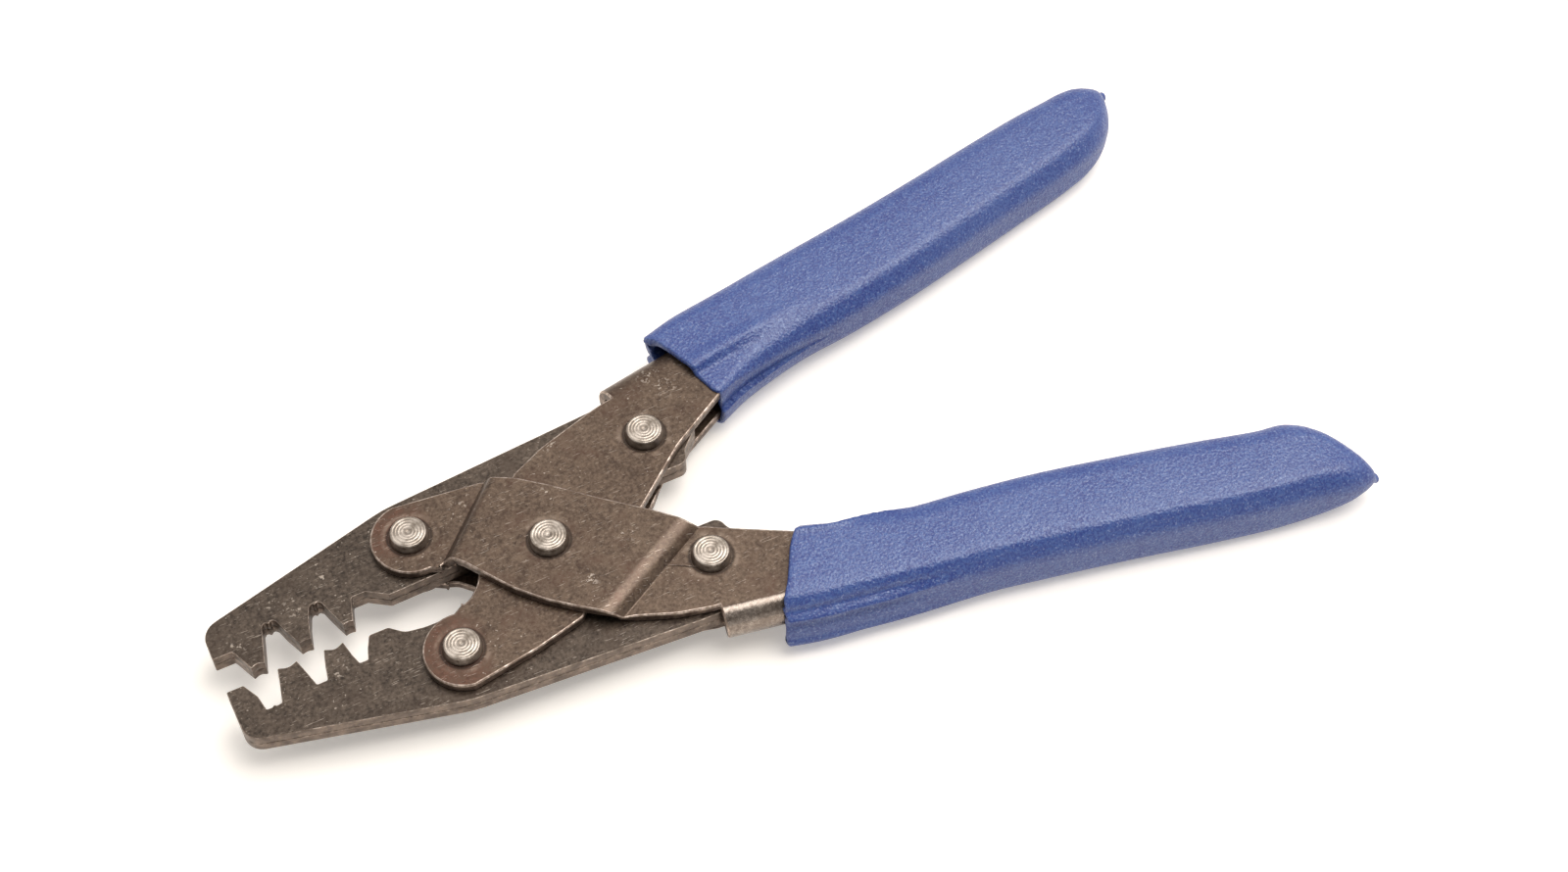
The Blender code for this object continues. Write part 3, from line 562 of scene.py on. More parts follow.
def joggle_plate_full():
    a = (PT_A[0] + LOBE_DX, -PT_A[1] + LOBE_DY)
    pts = arc(a, LOBE_R, 86.0, 262.0, 44)
    upper = rounded([(-14.0, -19.3, 0), (-6.2, -18.35, 2.6), (-0.4, -15.3, 12.0), (4.6, -11.2, 14.0),
                     (12.0, -4.4, 14.0), (19.4, 2.0, 10.0), (24.6, 7.0, 4.0), (27.2, 8.5, 3.0),
                     (31.0, 10.75, 10.0), (42.2, 16.75, 0)])
    pts += upper[:-1]
    pts += INNER_EDGE
    pts.append(("fold", CHANNEL_END))
    pts.append(("fold", FOLD_X0))
    lower = rounded([(FOLD_X0, fold_line(FOLD_X0), 0), (21.3, 24.75, 0.9), (15.0, 23.2, 10.0),
                     (8.0, 20.4, 10.0), (3.2, 18.3, 8.0), (-1.0, 15.1, 12.0), (-5.8, 11.1, 16.0),
                     (-9.8, 6.6, 16.0), (-12.9, 2.0, 16.0), (-15.7, -2.2, 6.0), (-17.6, -4.35, 3.0),
                     (-20.5, -5.05, 5.0)])
    return pts + lower[1:-1]


F_ANG, R_ANG = math.radians(44.0), math.radians(29.0)
FRONT_RAMP = ((-17.55, -6.2), (math.sin(F_ANG), math.cos(F_ANG)), 2.1)
REAR_RAMP = ((6.3, 19.1), (-math.sin(R_ANG), -math.cos(R_ANG)), 3.7)


REAR_CREST_R, REAR_SLOPE = 4.0, math.radians(45.0)
REAR_ARC_DROP = REAR_CREST_R * (1.0 - math.cos(REAR_SLOPE))
REAR_STRAIGHT = (RISE - REAR_ARC_DROP) / math.tan(REAR_SLOPE)


def ramp_fraction(t):
    if t <= 0.0:
        return 0.0
    if t >= 1.0:
        return 1.0
    return 0.5 - 0.5 * math.cos(math.pi * t)


def rear_height(s):
    """Height over the foot at s mm up the rear joggle: a straight ramp, then a wide crest."""
    if s <= 0.0:
        return 0.0
    if s <= REAR_STRAIGHT:
        return s * math.tan(REAR_SLOPE)
    q = REAR_STRAIGHT + REAR_CREST_R * math.sin(REAR_SLOPE) - s
    if q <= 0.0:
        return RISE
    return RISE - REAR_CREST_R + math.sqrt(REAR_CREST_R ** 2 - q ** 2)


def ramp_height(x, y):
    (fx, fy), fd, fr = FRONT_RAMP
    (rx, ry), rd, rr = REAR_RAMP
    tf = ((x - fx) * fd[0] + (y - fy) * fd[1]) / fr
    tr = (x - rx) * rd[0] + (y - ry) * rd[1]
    return min(RISE * ramp_fraction(tf), rear_height(tr))


def build_handle(name, upper, mats):
    u = Vector((math.cos(FOLD_ANG), math.sin(FOLD_ANG)))
    n = Vector((-math.sin(FOLD_ANG), math.cos(FOLD_ANG)))
    p0 = Vector((FOLD_X0, fold_line(FOLD_X0)))
    strip = math.pi * FOLD_MID_R

    def to_uv(pt, top):
        d = Vector(pt) - p0
        v = d.dot(n)
        return (d.dot(u), v if top else strip - v)

    def walk(o):
        return [((p[1], fold_line(p[1])) if p[0] == "fold" else p) for p in o]

    def start_at_fold(pts, x0):
        t = (x0, fold_line(x0))
        k = min(range(len(pts)), key=lambda i: (pts[i][0] - t[0]) ** 2 + (pts[i][1] - t[1]) ** 2)
        return pts[k:] + pts[:k]

    top = start_at_fold(walk(joggle_plate_full()), FOLD_X0)
    bot = start_at_fold(walk(flat_plate_full()), FOLD_X0_FLAT)
    uv = [to_uv(p, True) for p in top] + [to_uv(p, False) for p in reversed(bot)]
    clean = []
    for q in uv:
        if not clean or (Vector(q) - Vector(clean[-1])).length > 0.05:
            clean.append(q)
    m = bpy.data.meshes.new(name)
    b = bmesh.new()
    f = b.faces.new([b.verts.new((x, y, 0.0)) for x, y in clean])
    if f.normal.z < 0:
        f.normal_flip()

    def cut(co, no, only=None):
        geom = [q for q in b.faces if only is None or only(q)]
        es, vs = set(), set()
        for q in geom:
            es.update(q.edges)
            vs.update(q.verts)
        bmesh.ops.bisect_plane(b, geom=list(vs) + list(es) + geom, dist=1e-5, plane_co=co, plane_no=no)

    bends = 20
    for i in range(bends + 1):
        cut((0, strip * i / bends, 0), (0, 1, 0))
    in_top = (lambda q: q.calc_center_median().y < 0.0)
    for (pt, d, run) in (FRONT_RAMP, REAR_RAMP):
        for k in range(13):
            c = k / 12.0
            q = Vector((pt[0] + d[0] * run * c, pt[1] + d[1] * run * c)) - p0
            dd = Vector(d)
            cut((q.dot(u), q.dot(n), 0), (dd.dot(u), dd.dot(n), 0), in_top)
    bmesh.ops.remove_doubles(b, verts=b.verts, dist=0.05)
    for v in b.verts:
        uu, vv = v.co.x, v.co.y
        if vv <= 1e-5:
            xy = p0 + u * uu + n * vv
            v.co = (xy.x, xy.y, MID + ramp_height(xy.x, xy.y))
        elif vv >= strip - 1e-5:
            xy = p0 + u * uu + n * (strip - vv)
            v.co = (xy.x, xy.y, -MID)
        else:
            a = vv / FOLD_MID_R
            xy = p0 + u * uu + n * (FOLD_MID_R * math.sin(a))
            v.co = (xy.x, xy.y, MID * math.cos(a))
    for v in b.verts:
        v.co = v.co * MM
    bmesh.ops.recalc_face_normals(b, faces=b.faces)
    b.to_mesh(m)
    b.free()
    ob = link(bpy.data.objects.new(name, m))
    s = ob.modifiers.new("sheet", "SOLIDIFY")
    s.thickness = SHEET * MM
    s.offset = 0.0
    s.use_even_offset = True
    s.material_offset_rim = 2
    for q in mats:
        ob.data.materials.append(q)
    apply_modifiers(ob)
    for c in ((PT_A[0], -PT_A[1]), (PT_E[0], -PT_E[1]), (0.0, 0.0)):
        drill(ob, c, HOLE_R)
    # mark the sheet's cut edges and the rivet holes for rounding
    b = bmesh.new()
    b.from_mesh(ob.data)
    bmesh.ops.remove_doubles(b, verts=b.verts, dist=2e-6)
    bmesh.ops.dissolve_degenerate(b, edges=b.edges, dist=2e-6)
    weight = b.edges.layers.float.get("bevel_weight_edge") or b.edges.layers.float.new("bevel_weight_edge")
    holes = [Vector((q[0] * MM, q[1] * MM)) for q in ((PT_A[0], -PT_A[1]), (PT_E[0], -PT_E[1]), (0.0, 0.0))]
    for e in b.edges:
        if len(e.link_faces) != 2:
            continue
        kinds = {q.material_index for q in e.link_faces}
        at_hole = any(all(abs((v.co.xy - q).length - HOLE_R * MM) < 3e-5 for v in e.verts) for q in holes)
        if e.calc_face_angle(0.0) > math.radians(40.0) and (at_hole or kinds == {0, 2}):
            e[weight] = 1.0
    # the stretched skin round the lower handle's fold is painted brighter: rubbed wear and a painted highlight
    for q in b.faces:
        c = q.calc_center_median() / MM
        if not upper and q.material_index == 0 and abs(q.normal.z) < 0.9995 and c.y > fold_line(c.x) + 0.02 and c.x > FOLD_X0 - 0.5:
            q.material_index = 3
    bmesh.ops.transform(b, matrix=Matrix.Diagonal((1, 1, -1, 1) if upper else (1, -1, 1, 1)), verts=b.verts)
    bmesh.ops.translate(b, vec=(0, 0, MID_Z * MM), verts=b.verts)
    bmesh.ops.recalc_face_normals(b, faces=b.faces)
    b.to_mesh(ob.data)
    b.free()
    edge_round(ob, 0.34, 3, 50.0, 1, marked=True)
    return ob


# ------------------------------------------------------------------ jaws
def tail_outline():
    return [(22.3, 25.35, 3.0), (27.5, 24.6, 4.0), (33.0, 21.6, 4.0), (35.8, 17.4, 4.0),
            (35.6, 13.6, 3.0), (33.2, 11.2, 2.0), (31.5, 9.6, 2.4), (30.6, 6.85, 2.6),
            (14.0, 6.85, 3.0), (10.0, 8.4, 3.0), (2.0, 9.3, 6.0), (-6.0, 8.3, 3.0),
            (-10.5, 5.4, 4.0), (-15.0, 4.75, 3.0)]


def upper_jaw_outline():
    pts = [(-63.2, 5.55, 0.25), (-63.2, 12.1, 3.8), (-24.6, 21.9, 22.0), (19.0, 25.25, 8.0)]
    pts += tail_outline()
    pts += [(-29.9, 4.35, 0.5), (-33.6, 6.85, 0.5), (-36.35, 6.85, 0.5),
            (-37.75, 2.15, 0.15), (-38.75, 2.35, 2.0), (-39.65, 2.1, 0.15),
            (-40.97, 5.9, 0.8), (-41.66, 8.2, 0.7), (-42.35, 8.75, 0.4), (-42.85, 8.25, 0.12),
            (-43.35, 8.75, 0.4), (-43.95, 8.2, 0.7), (-44.95, 5.6, 0.8),
            (-45.9, 1.95, 0.15), (-47.0, 2.2, 2.0), (-48.05, 1.95, 0.15),
            (-49.55, 5.6, 0.8), (-50.35, 8.1, 0.8), (-51.0, 8.75, 0.4), (-51.7, 8.15, 0.12),
            (-52.4, 8.75, 0.4), (-53.0, 8.1, 0.8), (-53.75, 5.4, 0.8),
            (-55.05, 0.9, 0.15), (-56.3, 1.45, 2.2), (-57.55, 0.9, 0.15),
            (-59.2, 4.8, 0.4), (-59.6, 5.55, 0.3)]
    return rounded(pts, 9.0)


def lower_jaw_outline():
    pts = [(-63.2, -1.75, 0.25), (-60.05, -1.75, 0.4),
           (-58.45, -4.9, 1.2), (-57.95, -8.05, 0.35), (-56.9, -8.1, 0.2), (-56.45, -7.75, 0.2),
           (-56.0, -8.1, 0.2), (-55.0, -7.95, 0.4), (-54.2, -4.7, 1.5), (-53.42, -1.15, 0.2),
           (-51.55, -1.85, 2.6), (-49.8, -1.15, 0.2),
           (-48.85, -4.6, 1.2), (-48.2, -7.25, 0.4), (-46.15, -7.25, 0.4), (-45.55, -4.4, 1.2), (-44.65, -1.15, 0.2),
           (-42.75, -2.05, 2.6), (-41.02, -1.15, 0.2),
           (-40.42, -4.4, 1.0), (-39.8, -6.5, 0.35), (-38.2, -6.5, 0.35), (-37.5, -4.4, 1.0), (-36.3, -1.9, 0.6),
           (-32.6, -1.9, 1.2), (-30.2, -4.1, 3.0), (-26.5, -4.7, 6.0)]
    tail = flip_y(tail_outline())
    tail.reverse()
    pts += tail
    pts += [(19.0, -25.25, 8.0), (-24.6, -22.2, 22.0), (-63.2, -12.5, 3.6)]
    return rounded(pts, 9.0)


close = math.radians(30.0 - CLOSE_HALF)
SLOT_DX = (LINK_REAR + LINK_FRONT) * (math.cos(close) - c30)
SLOT_DY = (LINK_REAR - LINK_FRONT) * (math.sin(close) - s30)


def jaw_plate(name, outline, hole, slot_from, slot_dir, z0, z1):
    d = Vector(slot_dir)
    k = d.normalized() * 0.25
    loops = [outline, circle(hole, JAW_HOLE_R),
             stadium(tuple(Vector(slot_from) - k), tuple(Vector(slot_from) + d + k), SLOT_HALF)]
    cu = bpy.data.curves.new(name + "_outline", "CURVE")
    cu.dimensions = "2D"
    cu.fill_mode = "BOTH"
    cu.extrude = (z1 - z0) / 2.0 * MM
    for loop in loops:
        sp = cu.splines.new("POLY")
        sp.points.add(len(loop) - 1)
        for p, (x, y) in zip(sp.points, loop):
            p.co = (x * MM, y * MM, 0.0, 1.0)
        sp.use_cyclic_u = True
    tmp = link(bpy.data.objects.new(name + "_curve", cu))
    bpy.context.view_layer.update()
    m = bpy.data.meshes.new_from_object(tmp.evaluated_get(bpy.context.evaluated_depsgraph_get()))
    bpy.data.objects.remove(tmp, do_unlink=True)
    b = bmesh.new()
    b.from_mesh(m)
    bmesh.ops.remove_doubles(b, verts=b.verts, dist=1e-6)
    bmesh.ops.recalc_face_normals(b, faces=b.faces)
    # one flat face each side, so that the edge rounding stays even
    bmesh.ops.translate(b, vec=(0, 0, (MID_Z + (z0 + z1) / 2.0) * MM), verts=b.verts)
    bmesh.ops.dissolve_limit(b, angle_limit=math.radians(0.5), verts=b.verts, edges=b.edges)
    b.to_mesh(m)
    b.free()
    ob = link(bpy.data.objects.new(name, m))
    m.materials.clear()
    for q in (M_JAW, M_JAW_EDGE_WEAR_AND_HIGHLIGHT, M_JAW_SIDE):
        m.materials.append(q)
    for p in m.polygons:
        p.material_index = 0 if abs(p.normal.z) > 0.5 else 2
    edge_round(ob, 0.14, 2, 60.0, 1)
    return ob


# ------------------------------------------------------------------ rivets
def turned(name, profile, centre, mat, steps=72, slot=None):
    m = bpy.data.meshes.new(name)
    b = bmesh.new()
    vs = [b.verts.new((r * MM, 0.0, z * MM)) for r, z in profile]
    for p, q in zip(vs[:-1], vs[1:]):
        b.edges.new((p, q))
    b.to_mesh(m)
    b.free()
    ob = link(bpy.data.objects.new(name, m))
    s = ob.modifiers.new("turn", "SCREW")
    s.angle = 2 * math.pi
    s.steps = steps
    s.render_steps = steps
    s.use_merge_vertices = True
    s.merge_threshold = 0.000001
    apply_modifiers(ob)
    b = bmesh.new()
    b.from_mesh(ob.data)
    bmesh.ops.remove_doubles(b, verts=b.verts, dist=1e-7)
    bmesh.ops.recalc_face_normals(b, faces=b.faces)
    b.to_mesh(ob.data)
    b.free()
    ob.data.materials.clear()
    ob.data.materials.append(mat)
    ob.data.shade_smooth()
    ob.data.set_sharp_from_angle(angle=math.radians(40))
    ob.location = (centre[0] * MM, centre[1] * MM, 0.0)
    return ob


def rivet(name, centre, plate_out):
    zt = plate_out + HEAD_GAP + HEAD_H
    zh = plate_out + HEAD_GAP
    prof = [(0.0, zt - 0.07), (0.22, zt - 0.06), (0.34, zt - 0.015)]
    # faint turned rings on the flat
    r = 0.45
    while r < HEAD_R - 0.45:
        prof.append((r, zt - 0.012 - 0.012 * math.cos(2 * math.pi * r / 0.55)))
        r += 0.11
    prof += [(HEAD_R - 0.34, zt - 0.004), (HEAD_R - 0.22, zt), (HEAD_R - 0.10, zt - 0.03), (HEAD_R - 0.02, zt - 0.11),
             (HEAD_R + 0.04, zt - 0.26), (HEAD_R + 0.12, zt - 0.62), (HEAD_R + 0.24, zt - 1.05),
             (HEAD_BASE_R - 0.03, zh + 0.34), (HEAD_BASE_R, zh + 0.2), (HEAD_BASE_R - 0.05, zh + 0.06),
             (HEAD_BASE_R - 0.22, zh), (SHAFT_R, zh)]
    full = prof + [(q, -z) for q, z in reversed(prof)]
    return turned(name, [(q, z + MID_Z) for q, z in full], centre, M_RIVET)


# ------------------------------------------------------------------ grips
GRIP_UPPER = [
    (37.6, 15.3, 35.6, 6.25, -0.46), (42.0, 17.0, 36.9, 6.2, -0.42), (50.0, 19.2, 38.8, 6.1, -0.34),
    (60.0, 21.5, 40.9, 6.0, -0.26), (72.0, 23.1, 43.05, 6.0, -0.2), (84.0, 25.3, 45.05, 6.0, -0.2),
    (100.0, 28.95, 48.1, 6.0, -0.2), (116.0, 32.9, 51.45, 6.0, -0.2), (128.0, 35.9, 53.8, 5.95, -0.18)]
GRIP_LOWER = [
    (37.6, 14.4, 33.9, 6.25, -0.46), (42.0, 15.6, 35.2, 6.2, -0.42), (50.0, 17.6, 36.7, 6.1, -0.34),
    (60.0, 20.2, 38.4, 6.0, -0.26), (72.0, 21.8, 40.3, 6.0, -0.2), (84.0, 23.7, 42.6, 6.0, -0.2),
    (100.0, 27.1, 45.9, 6.0, -0.2), (116.0, 30.9, 49.5, 6.0, -0.2), (128.0, 33.9, 51.9, 5.95, -0.18)]
GRIP_END_UPPER = [(134.0, 1.9, 0.9, 5.85), (138.0, 4.1, 1.7, 5.55), (141.0, 6.6, 1.8, 5.05),
                  (143.2, 9.2, 1.1, 4.3), (144.6, 12.0, 0.1, 3.2), (145.3, 14.4, -0.7, 2.0)]
GRIP_END_LOWER = [(134.0, 1.1, 0.9, 5.85), (138.0, 3.4, 1.3, 5.5), (141.0, 6.4, 1.4, 4.9),
                  (143.2, 9.9, 1.1, 4.0), (144.6, 13.0, 0.6, 2.9), (145.3, 15.0, 0.2, 1.9)]


def smooth_interp(xs, ys, x):
    """Cubic through the stations with centred slopes."""
    xs, ys = np.asarray(xs, float), np.asarray(ys, float)
    d = np.diff(ys) / np.diff(xs)
    m = np.zeros(len(xs))
    m[0], m[-1] = d[0], d[-1]
    for i in range(1, len(xs) - 1):
        h0, h1 = xs[i] - xs[i - 1], xs[i + 1] - xs[i]
        m[i] = (d[i - 1] * h1 + d[i] * h0) / (h0 + h1)
    i = int(np.clip(np.searchsorted(xs, x) - 1, 0, len(xs) - 2))
    h = xs[i + 1] - xs[i]
    t = (x - xs[i]) / h
    return ((2 * t ** 3 - 3 * t ** 2 + 1) * ys[i] + (t ** 3 - 2 * t ** 2 + t) * h * m[i]
            + (-2 * t ** 3 + 3 * t ** 2) * ys[i + 1] + (t ** 3 - t ** 2) * h * m[i + 1])


def sstep(a, b, x):
    t = min(1.0, max(0.0, (x - a) / (b - a)))
    return t * t * (3 - 2 * t)


RING_TOP, RING_ARC, RING_SIDE = 42, 14, 28


def section(a, bt, bb, inner, outer):
    """Outline (dy, dz, ny, nz) of a flattened sleeve, from the outer side's middle over the top.

    inner and outer give the corner radii (across, up at the top, up at the bottom) of each side."""
    rxi, rti, rbi = min(inner[0], 0.96 * a), min(inner[1], 0.98 * bt), min(inner[2], 0.98 * bb)
    rxo, rto, rbo = min(outer[0], 0.96 * a), min(outer[1], 0.98 * bt), min(outer[2], 0.98 * bb)
    pts = []

    def ell(cy, cz, rx, rz, a0, a1, n):
        for j in range(n):
            w = math.radians(a0 + (a1 - a0) * j / n)
            ny, nz = math.cos(w) / rx, math.sin(w) / rz
            l = math.hypot(ny, nz)
            pts.append((cy + rx * math.cos(w), cz + rz * math.sin(w), ny / l, nz / l))

    def line(y0, z0, y1, z1, ny, nz, n):
        for j in range(n):
            t = j / n
            pts.append((y0 + (y1 - y0) * t, z0 + (z1 - z0) * t, ny, nz))

    line(a, -(bb - rbo), a, bt - rto, 1, 0, RING_SIDE)
    ell(a - rxo, bt - rto, rxo, rto, 0, 90, RING_ARC)
    line(a - rxo, bt, -(a - rxi), bt, 0, 1, RING_TOP)
    ell(-(a - rxi), bt - rti, rxi, rti, 90, 180, RING_ARC)
    line(-a, bt - rti, -a, -(bb - rbi), -1, 0, RING_SIDE)
    ell(-(a - rxi), -(bb - rbi), rxi, rbi, 180, 270, RING_ARC)
    line(-(a - rxi), -bb, a - rxo, -bb, 0, -1, RING_TOP)
    ell(a - rxo, -(bb - rbo), rxo, rbo, 270, 360, RING_ARC)
    return pts


def gauss(x, c, w):
    return math.exp(-((x - c) / w) ** 2)


def build_grip(name, table, ends, lower, mat):
    xs = [s[0] for s in table]
    full_x = xs + [e[0] for e in ends]
    yi_t = [s[1] for s in table] + [table[-1][1] + e[1] for e in ends]
    yo_t = [s[2] for s in table] + [table[-1][2] + e[2] for e in ends]
    b_t = [s[3] for s in table] + [e[3] for e in ends]
    sh_t = [s[4] for s in table] + [-0.18 * (1 - (i + 1) / len(ends)) for i in range(len(ends))]
    near = 1.0 if lower else -1.0          # the side that leans outwards going down

    def dims(x):
        return (smooth_interp(full_x, yi_t, x), smooth_interp(full_x, yo_t, x),
                smooth_interp(full_x, b_t, x), smooth_interp(full_x, sh_t, x))

    def deeper(x):
        """How much further the underside lies from the mid-plane than the top."""
        if lower:
            return 0.85 - 0.45 * sstep(40.0, 62.0, x) - 0.40 * sstep(120.0, 143.0, x)
        return -0.35 + 0.55 * sstep(46.0, 80.0, x) - 0.20 * sstep(120.0, 143.0, x)

    def slant(x):
        base = 1.9 - 0.4 * sstep(42.0, 75.0, x) if lower else 0.1 + 0.9 * sstep(54.0, 82.0, x)
        return base * (1.0 - sstep(132.0, 144.5, x))

    def corners(x):
        tip = sstep(126.0, 142.0, x)
        near_mouth = 0.0 if lower else 1.0 - sstep(39.0, 50.0, x)
        wide, high = (3.7, 3.5) if lower else (4.4, 3.8)
        close = (wide + (5.1 - wide) * tip - 1.8 * near_mouth, high + (4.7 - high) * tip - 1.6 * near_mouth,
                 4.0 + 0.2 * tip)
        far = (3.6 + 1.4 * sstep(41.0, 58.0, x), 4.0 + 0.9 * sstep(41.0, 58.0, x), 4.2)
        return (far, close) if lower else (close, far)

    def feature(x, y, z, dy, dz, a, b):
        """Outward displacement in mm of the skin at a point (upper sense: +y is outwards)."""
        d = 0.0
        # gently crowned top, falling towards the near side
        if dz > 0:
            q = max(0.0, near * dy / a + 0.25) / 1.25
            crown = 0.75 if lower else 0.30 + 0.45 * sstep(46.0, 70.0, x)
            d -= crown * q * q * (1.0 - sstep(128.0, 143.0, x)) * sstep(0.2, 0.8, dz / b)
        if lower:
            # two long pulled ridges along the outer side, hollows beside them
            if dy > 0.3 * a:
                f1 = 1.0 - sstep(52.0, 68.0, x)
                d += 0.75 * gauss(dz, 2.4, 0.55) * f1
                d -= 0.45 * gauss(dz, 3.7, 0.80) * f1
                d -= 0.65 * gauss(dz, 0.6, 1.30) * f1
                f2 = 1.0 - sstep(56.0, 78.0, x)
                d += 0.70 * gauss(dz, -3.8, 0.60) * f2
                d -= 0.85 * sstep(-4.1, -5.2, dz) * f2
            # far side: pressed facet beyond a fold line on top
            if dz > 0 and dy < 0:
                wide = 2.7 - 2.1 * sstep(42.0, 60.0, x)
                u = (-a + wide + 0.6) - dy
                f3 = 1.0 - sstep(55.0, 63.0, x)
                d += 0.42 * gauss(u, 0.0, 0.40) * f3
                if u > 0:
                    d -= 0.50 * min(u, 3.0) * f3
        else:
            if dz > 0:
                # a step running back from the mouth: the skin drops onto the side plate below it
                line = 23.0 + 0.155 * (x - 38.0)
                f = 1.0 - sstep(46.0, 70.0, x)
                w = 0.60 + 0.06 * max(0.0, x - 38.0)
                d -= 1.15 * sstep(line + w, line - w, y) * f
                d += 0.25 * gauss(y, line + 1.7, 1.2) * f
            if dy > 0.5 * a:
                # the flattened far side closes over the fold in two lobes
                d -= 1.5 * gauss(dz, -0.6, 1.6) * (1.0 - sstep(39.0, 52.0, x))
        return d

    def mouth_dx(dy, dz, a, b):
        """Shape of the cut lip: x shift at the mouth."""
        q = dy / a
        if lower:
            top = np.interp(q, (-1.0, -0.75, -0.55, -0.4, 0.1, 0.45, 0.65, 0.85, 1.0),
                            (1.4, 1.2, 0.3, -0.1, -0.55, -1.0, -0.95, -0.35, -0.1))
            bottom = np.interp(q, (-1.0, 0.0, 1.0), (0.6, 0.0, -0.8))
            t = sstep(-6.0, 1.5, dz)
            d = top * t + bottom * (1.0 - t)
        else:
            d = np.interp(q, (-1.0, -0.7, -0.5, -0.27, -0.05, 0.15, 0.3, 0.6, 0.75, 0.9, 1.0),
                          (0.3, 0.7, 1.05, 1.3, 1.6, 1.7, 1.8, 1.7, 1.5, 1.05, 0.95))
            d += 0.8 * gauss(q, 0.98, 0.16) * gauss(dz, -0.6, 1.2)
            d += 1.2 * sstep(0.50, 0.85, q) * sstep(5.4, 3.6, dz)
        return float(d)

    def ring(x, inset=0.0, extra_x=0.0):
        yi, yo, b, sh = dims(x)
        yc, a = (yi + yo) / 2.0, (yo - yi) / 2.0
        w = 1.0 - sstep(0.0, 9.0, x - xs[0])
        inner, outer = corners(x)
        out = []
        for dy, dz, ny, nz in section(a, b, b + deeper(x), inner, outer):
            y, z = yc + dy, dz
            dd = feature(x, y, z, dy, dz, a, b) if x < 144 else 0.0
            thick = inset
            if not lower and dy > 0:
                thick *= 1.0 + 1.0 * sstep(0.50, 0.90, dy / a)
            if abs(dz) > 0.7 * b:
                # the wall thins where the skin is drawn down onto the steel
                room = abs(dz) + dd - MID_OUT - 0.06
                thick = min(thick, max(0.35, room))
            dd -= thick
            y += -near * slant(x) * sstep(0.2, 1.0, near * dy / a) * min(1.0, max(0.0, 0.5 + 0.5 * dz / b))
            px = x + sh * dy + extra_x + mouth_dx(dy, dz, a, b) * w
            out.append((px, y + ny * dd, z + nz * dd))
        return out

    outer_x = []
    x = xs[0]
    while x < 128.0:
        outer_x.append(x)
        x += 0.8 if x < 66.0 else 1.6
    outer_x += list(np.linspace(128.0, 145.3, 28))
    lip = []
    # rounded lip: from inside to outside
    wall = 1.50
    for k in range(9):
        w = math.pi * k / 8.0
        lip.append((0.5 * wall * (1 + math.cos(w)), -0.5 * math.sin(w)))
    rings = []
    inner_x = list(np.linspace(120.0, 60.0, 16)) + list(np.linspace(56.0, xs[0] + 0.6, 14))
    for x in inner_x:
        rings.append(ring(x, inset=GRIP_WALL + (wall - GRIP_WALL) * (1.0 - sstep(42.0, 50.0, x))))
    for ins, ex in lip:
        rings.append(ring(xs[0] + 0.02, inset=ins, extra_x=ex))
    for x in outer_x[1:]:
        rings.append(ring(x))
    # the end draws down to the drip nub left by dipping
    m = len(rings[0])
    end = np.array(rings[-1])
    ey, ez = (end[:, 1].min() + end[:, 1].max()) / 2.0, 0.0
    nub_y = table[-1][2] - (0.9 if lower else 1.35)
    nub_z = -1.2 if lower else 0.0
    ehy, ehz = (end[:, 1].max() - end[:, 1].min()) / 2.0, (end[:, 2].max() - end[:, 2].min()) / 2.0
    for x, k, hy, hz in ((145.55, 0.45, 1.30, 1.45), (145.75, 0.75, 1.12, 1.18), (145.95, 0.92, 1.02, 1.04), (146.2, 1.0, 0.98, 0.96),
                         (146.45, 1.0, 0.90, 0.86), (146.62, 1.0, 0.72, 0.68), (146.74, 1.0, 0.45, 0.42), (146.79, 1.0, 0.14, 0.13)):
        hy, hz = min(hy, ehy), min(hz, ehz)
        pts = section(hy, hz, hz, (0.94 * hy, 0.94 * hz, 0.94 * hz), (0.94 * hy, 0.94 * hz, 0.94 * hz))
        rings.append([(x, ey * (1 - k) + nub_y * k + dy, ez * (1 - k) + nub_z * k + dz) for dy, dz, _, _ in pts])
    sgn = -1.0 if lower else 1.0
    b = bmesh.new()
    rows = [[b.verts.new((px * MM, sgn * py * MM, (pz + MID_Z) * MM)) for px, py, pz in r] for r in rings]
    for r0, r1 in zip(rows[:-1], rows[1:]):
        for j in range(m):
            b.faces.new((r0[j], r0[(j + 1) % m], r1[(j + 1) % m], r1[j]))
    b.faces.new(rows[0])
    b.faces.new(rows[-1])
    bmesh.ops.recalc_face_normals(b, faces=b.faces)
    me = bpy.data.meshes.new(name)
    b.to_mesh(me)
    b.free()
    me.materials.append(mat)
    me.shade_smooth()
    return link(bpy.data.objects.new(name, me))


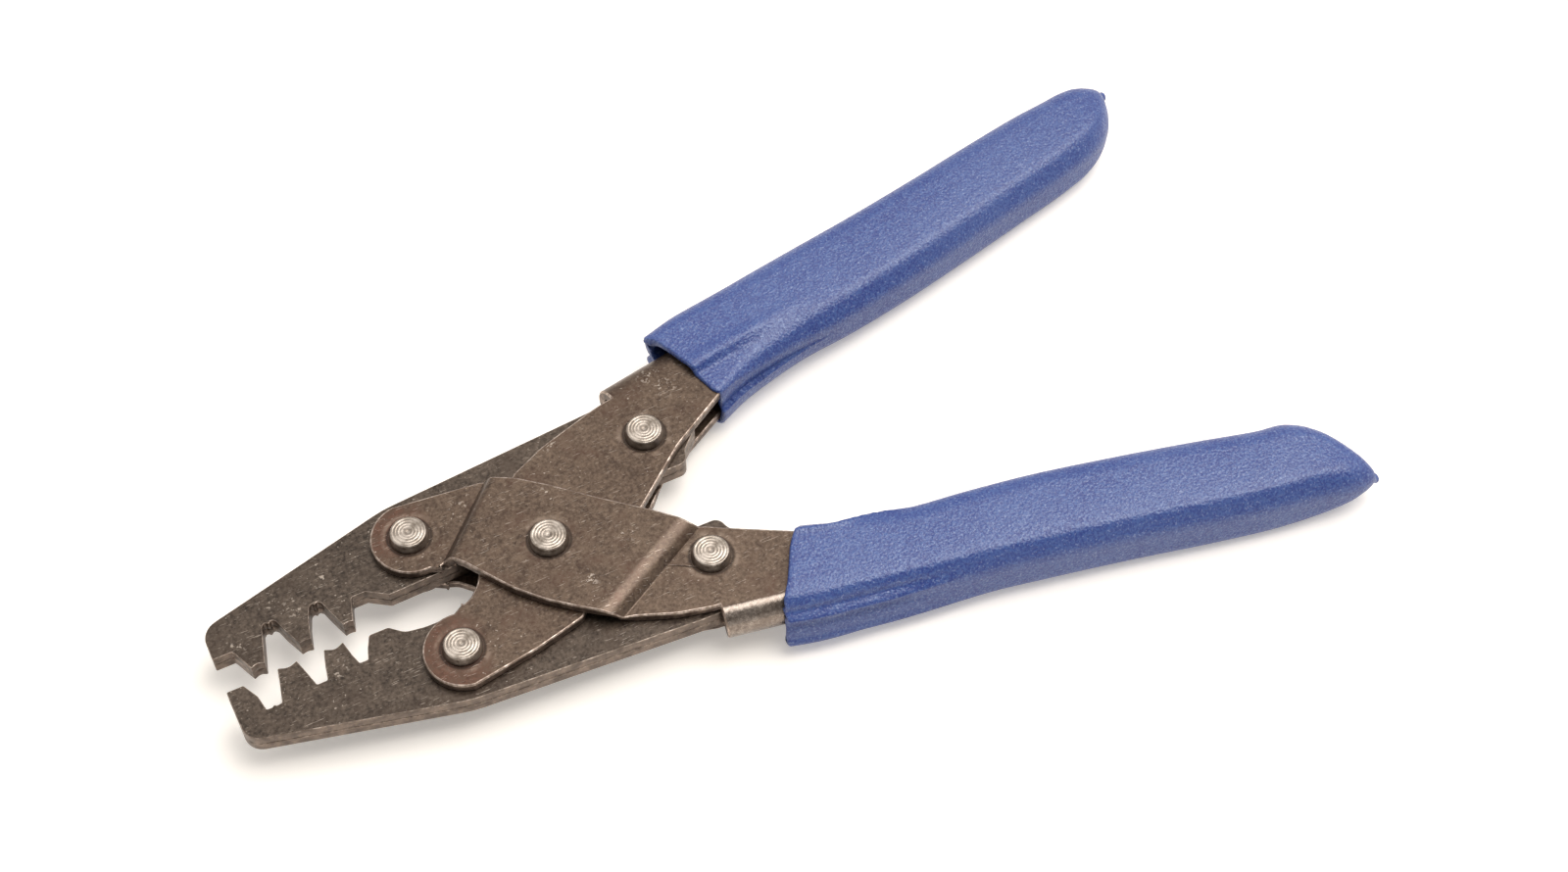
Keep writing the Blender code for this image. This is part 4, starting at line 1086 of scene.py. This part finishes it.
# ------------------------------------------------------------------ the pieces
def piece(ob, node, body):
    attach(ob, body)
    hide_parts(node)
    return ob


piece(build_handle("lower_handle", False, (M_HANDLE_L, M_EDGE_WEAR_AND_HIGHLIGHT, M_SIDE, M_FOLD_WEAR_AND_HIGHLIGHT)), "lower_handle_frame", "lower_handle")
piece(build_handle("upper_handle", True, (M_HANDLE_U, M_EDGE_WEAR_AND_HIGHLIGHT, M_SIDE)), "upper_handle_frame", "upper_handle")
piece(build_grip("lower_vinyl_grip", GRIP_LOWER, GRIP_END_LOWER, True, M_GRIP_L), "lower_grip", "lower_handle")
piece(build_grip("upper_vinyl_grip", GRIP_UPPER, GRIP_END_UPPER, False, M_GRIP_U), "upper_grip", "upper_handle")

up, lo = upper_jaw_outline(), lower_jaw_outline()
h = SEAM / 2.0
for nm, outline, hole, slot_pt, sd, body in (
        ("upper_jaw", up, PT_A, PT_D, (SLOT_DX, SLOT_DY), "upper_jaw"),
        ("lower_jaw", lo, PT_C, PT_E, (SLOT_DX, -SLOT_DY), "lower_jaw")):
    piece(jaw_plate(nm + "_front_lamination", outline, hole, slot_pt, sd, h, JAW_HALF), nm + "_front_plate", body)
    piece(jaw_plate(nm + "_back_lamination", outline, hole, slot_pt, sd, -JAW_HALF, -h), nm + "_back_plate", body)

for nm, pt, out, body in (("centre_rivet", (0.0, 0.0), MID_OUT + RISE, "lower_handle"),
                          ("upper_jaw_pivot_rivet", PT_A, MID_OUT, "lower_handle"),
                          ("lower_jaw_pivot_rivet", PT_C, MID_OUT, "upper_handle"),
                          ("upper_jaw_slot_rivet", PT_D, MID_OUT, "upper_handle"),
                          ("lower_jaw_slot_rivet", PT_E, MID_OUT, "lower_handle")):
    piece(rivet(nm + "_turned", pt, out), nm, body)

for nm in ("centre_spacer", "upper_jaw_pivot_bush", "lower_jaw_pivot_bush", "upper_slot_bush", "lower_slot_bush"):
    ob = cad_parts[nm]
    ob.data.materials.clear()
    ob.data.materials.append(M_BUSH)
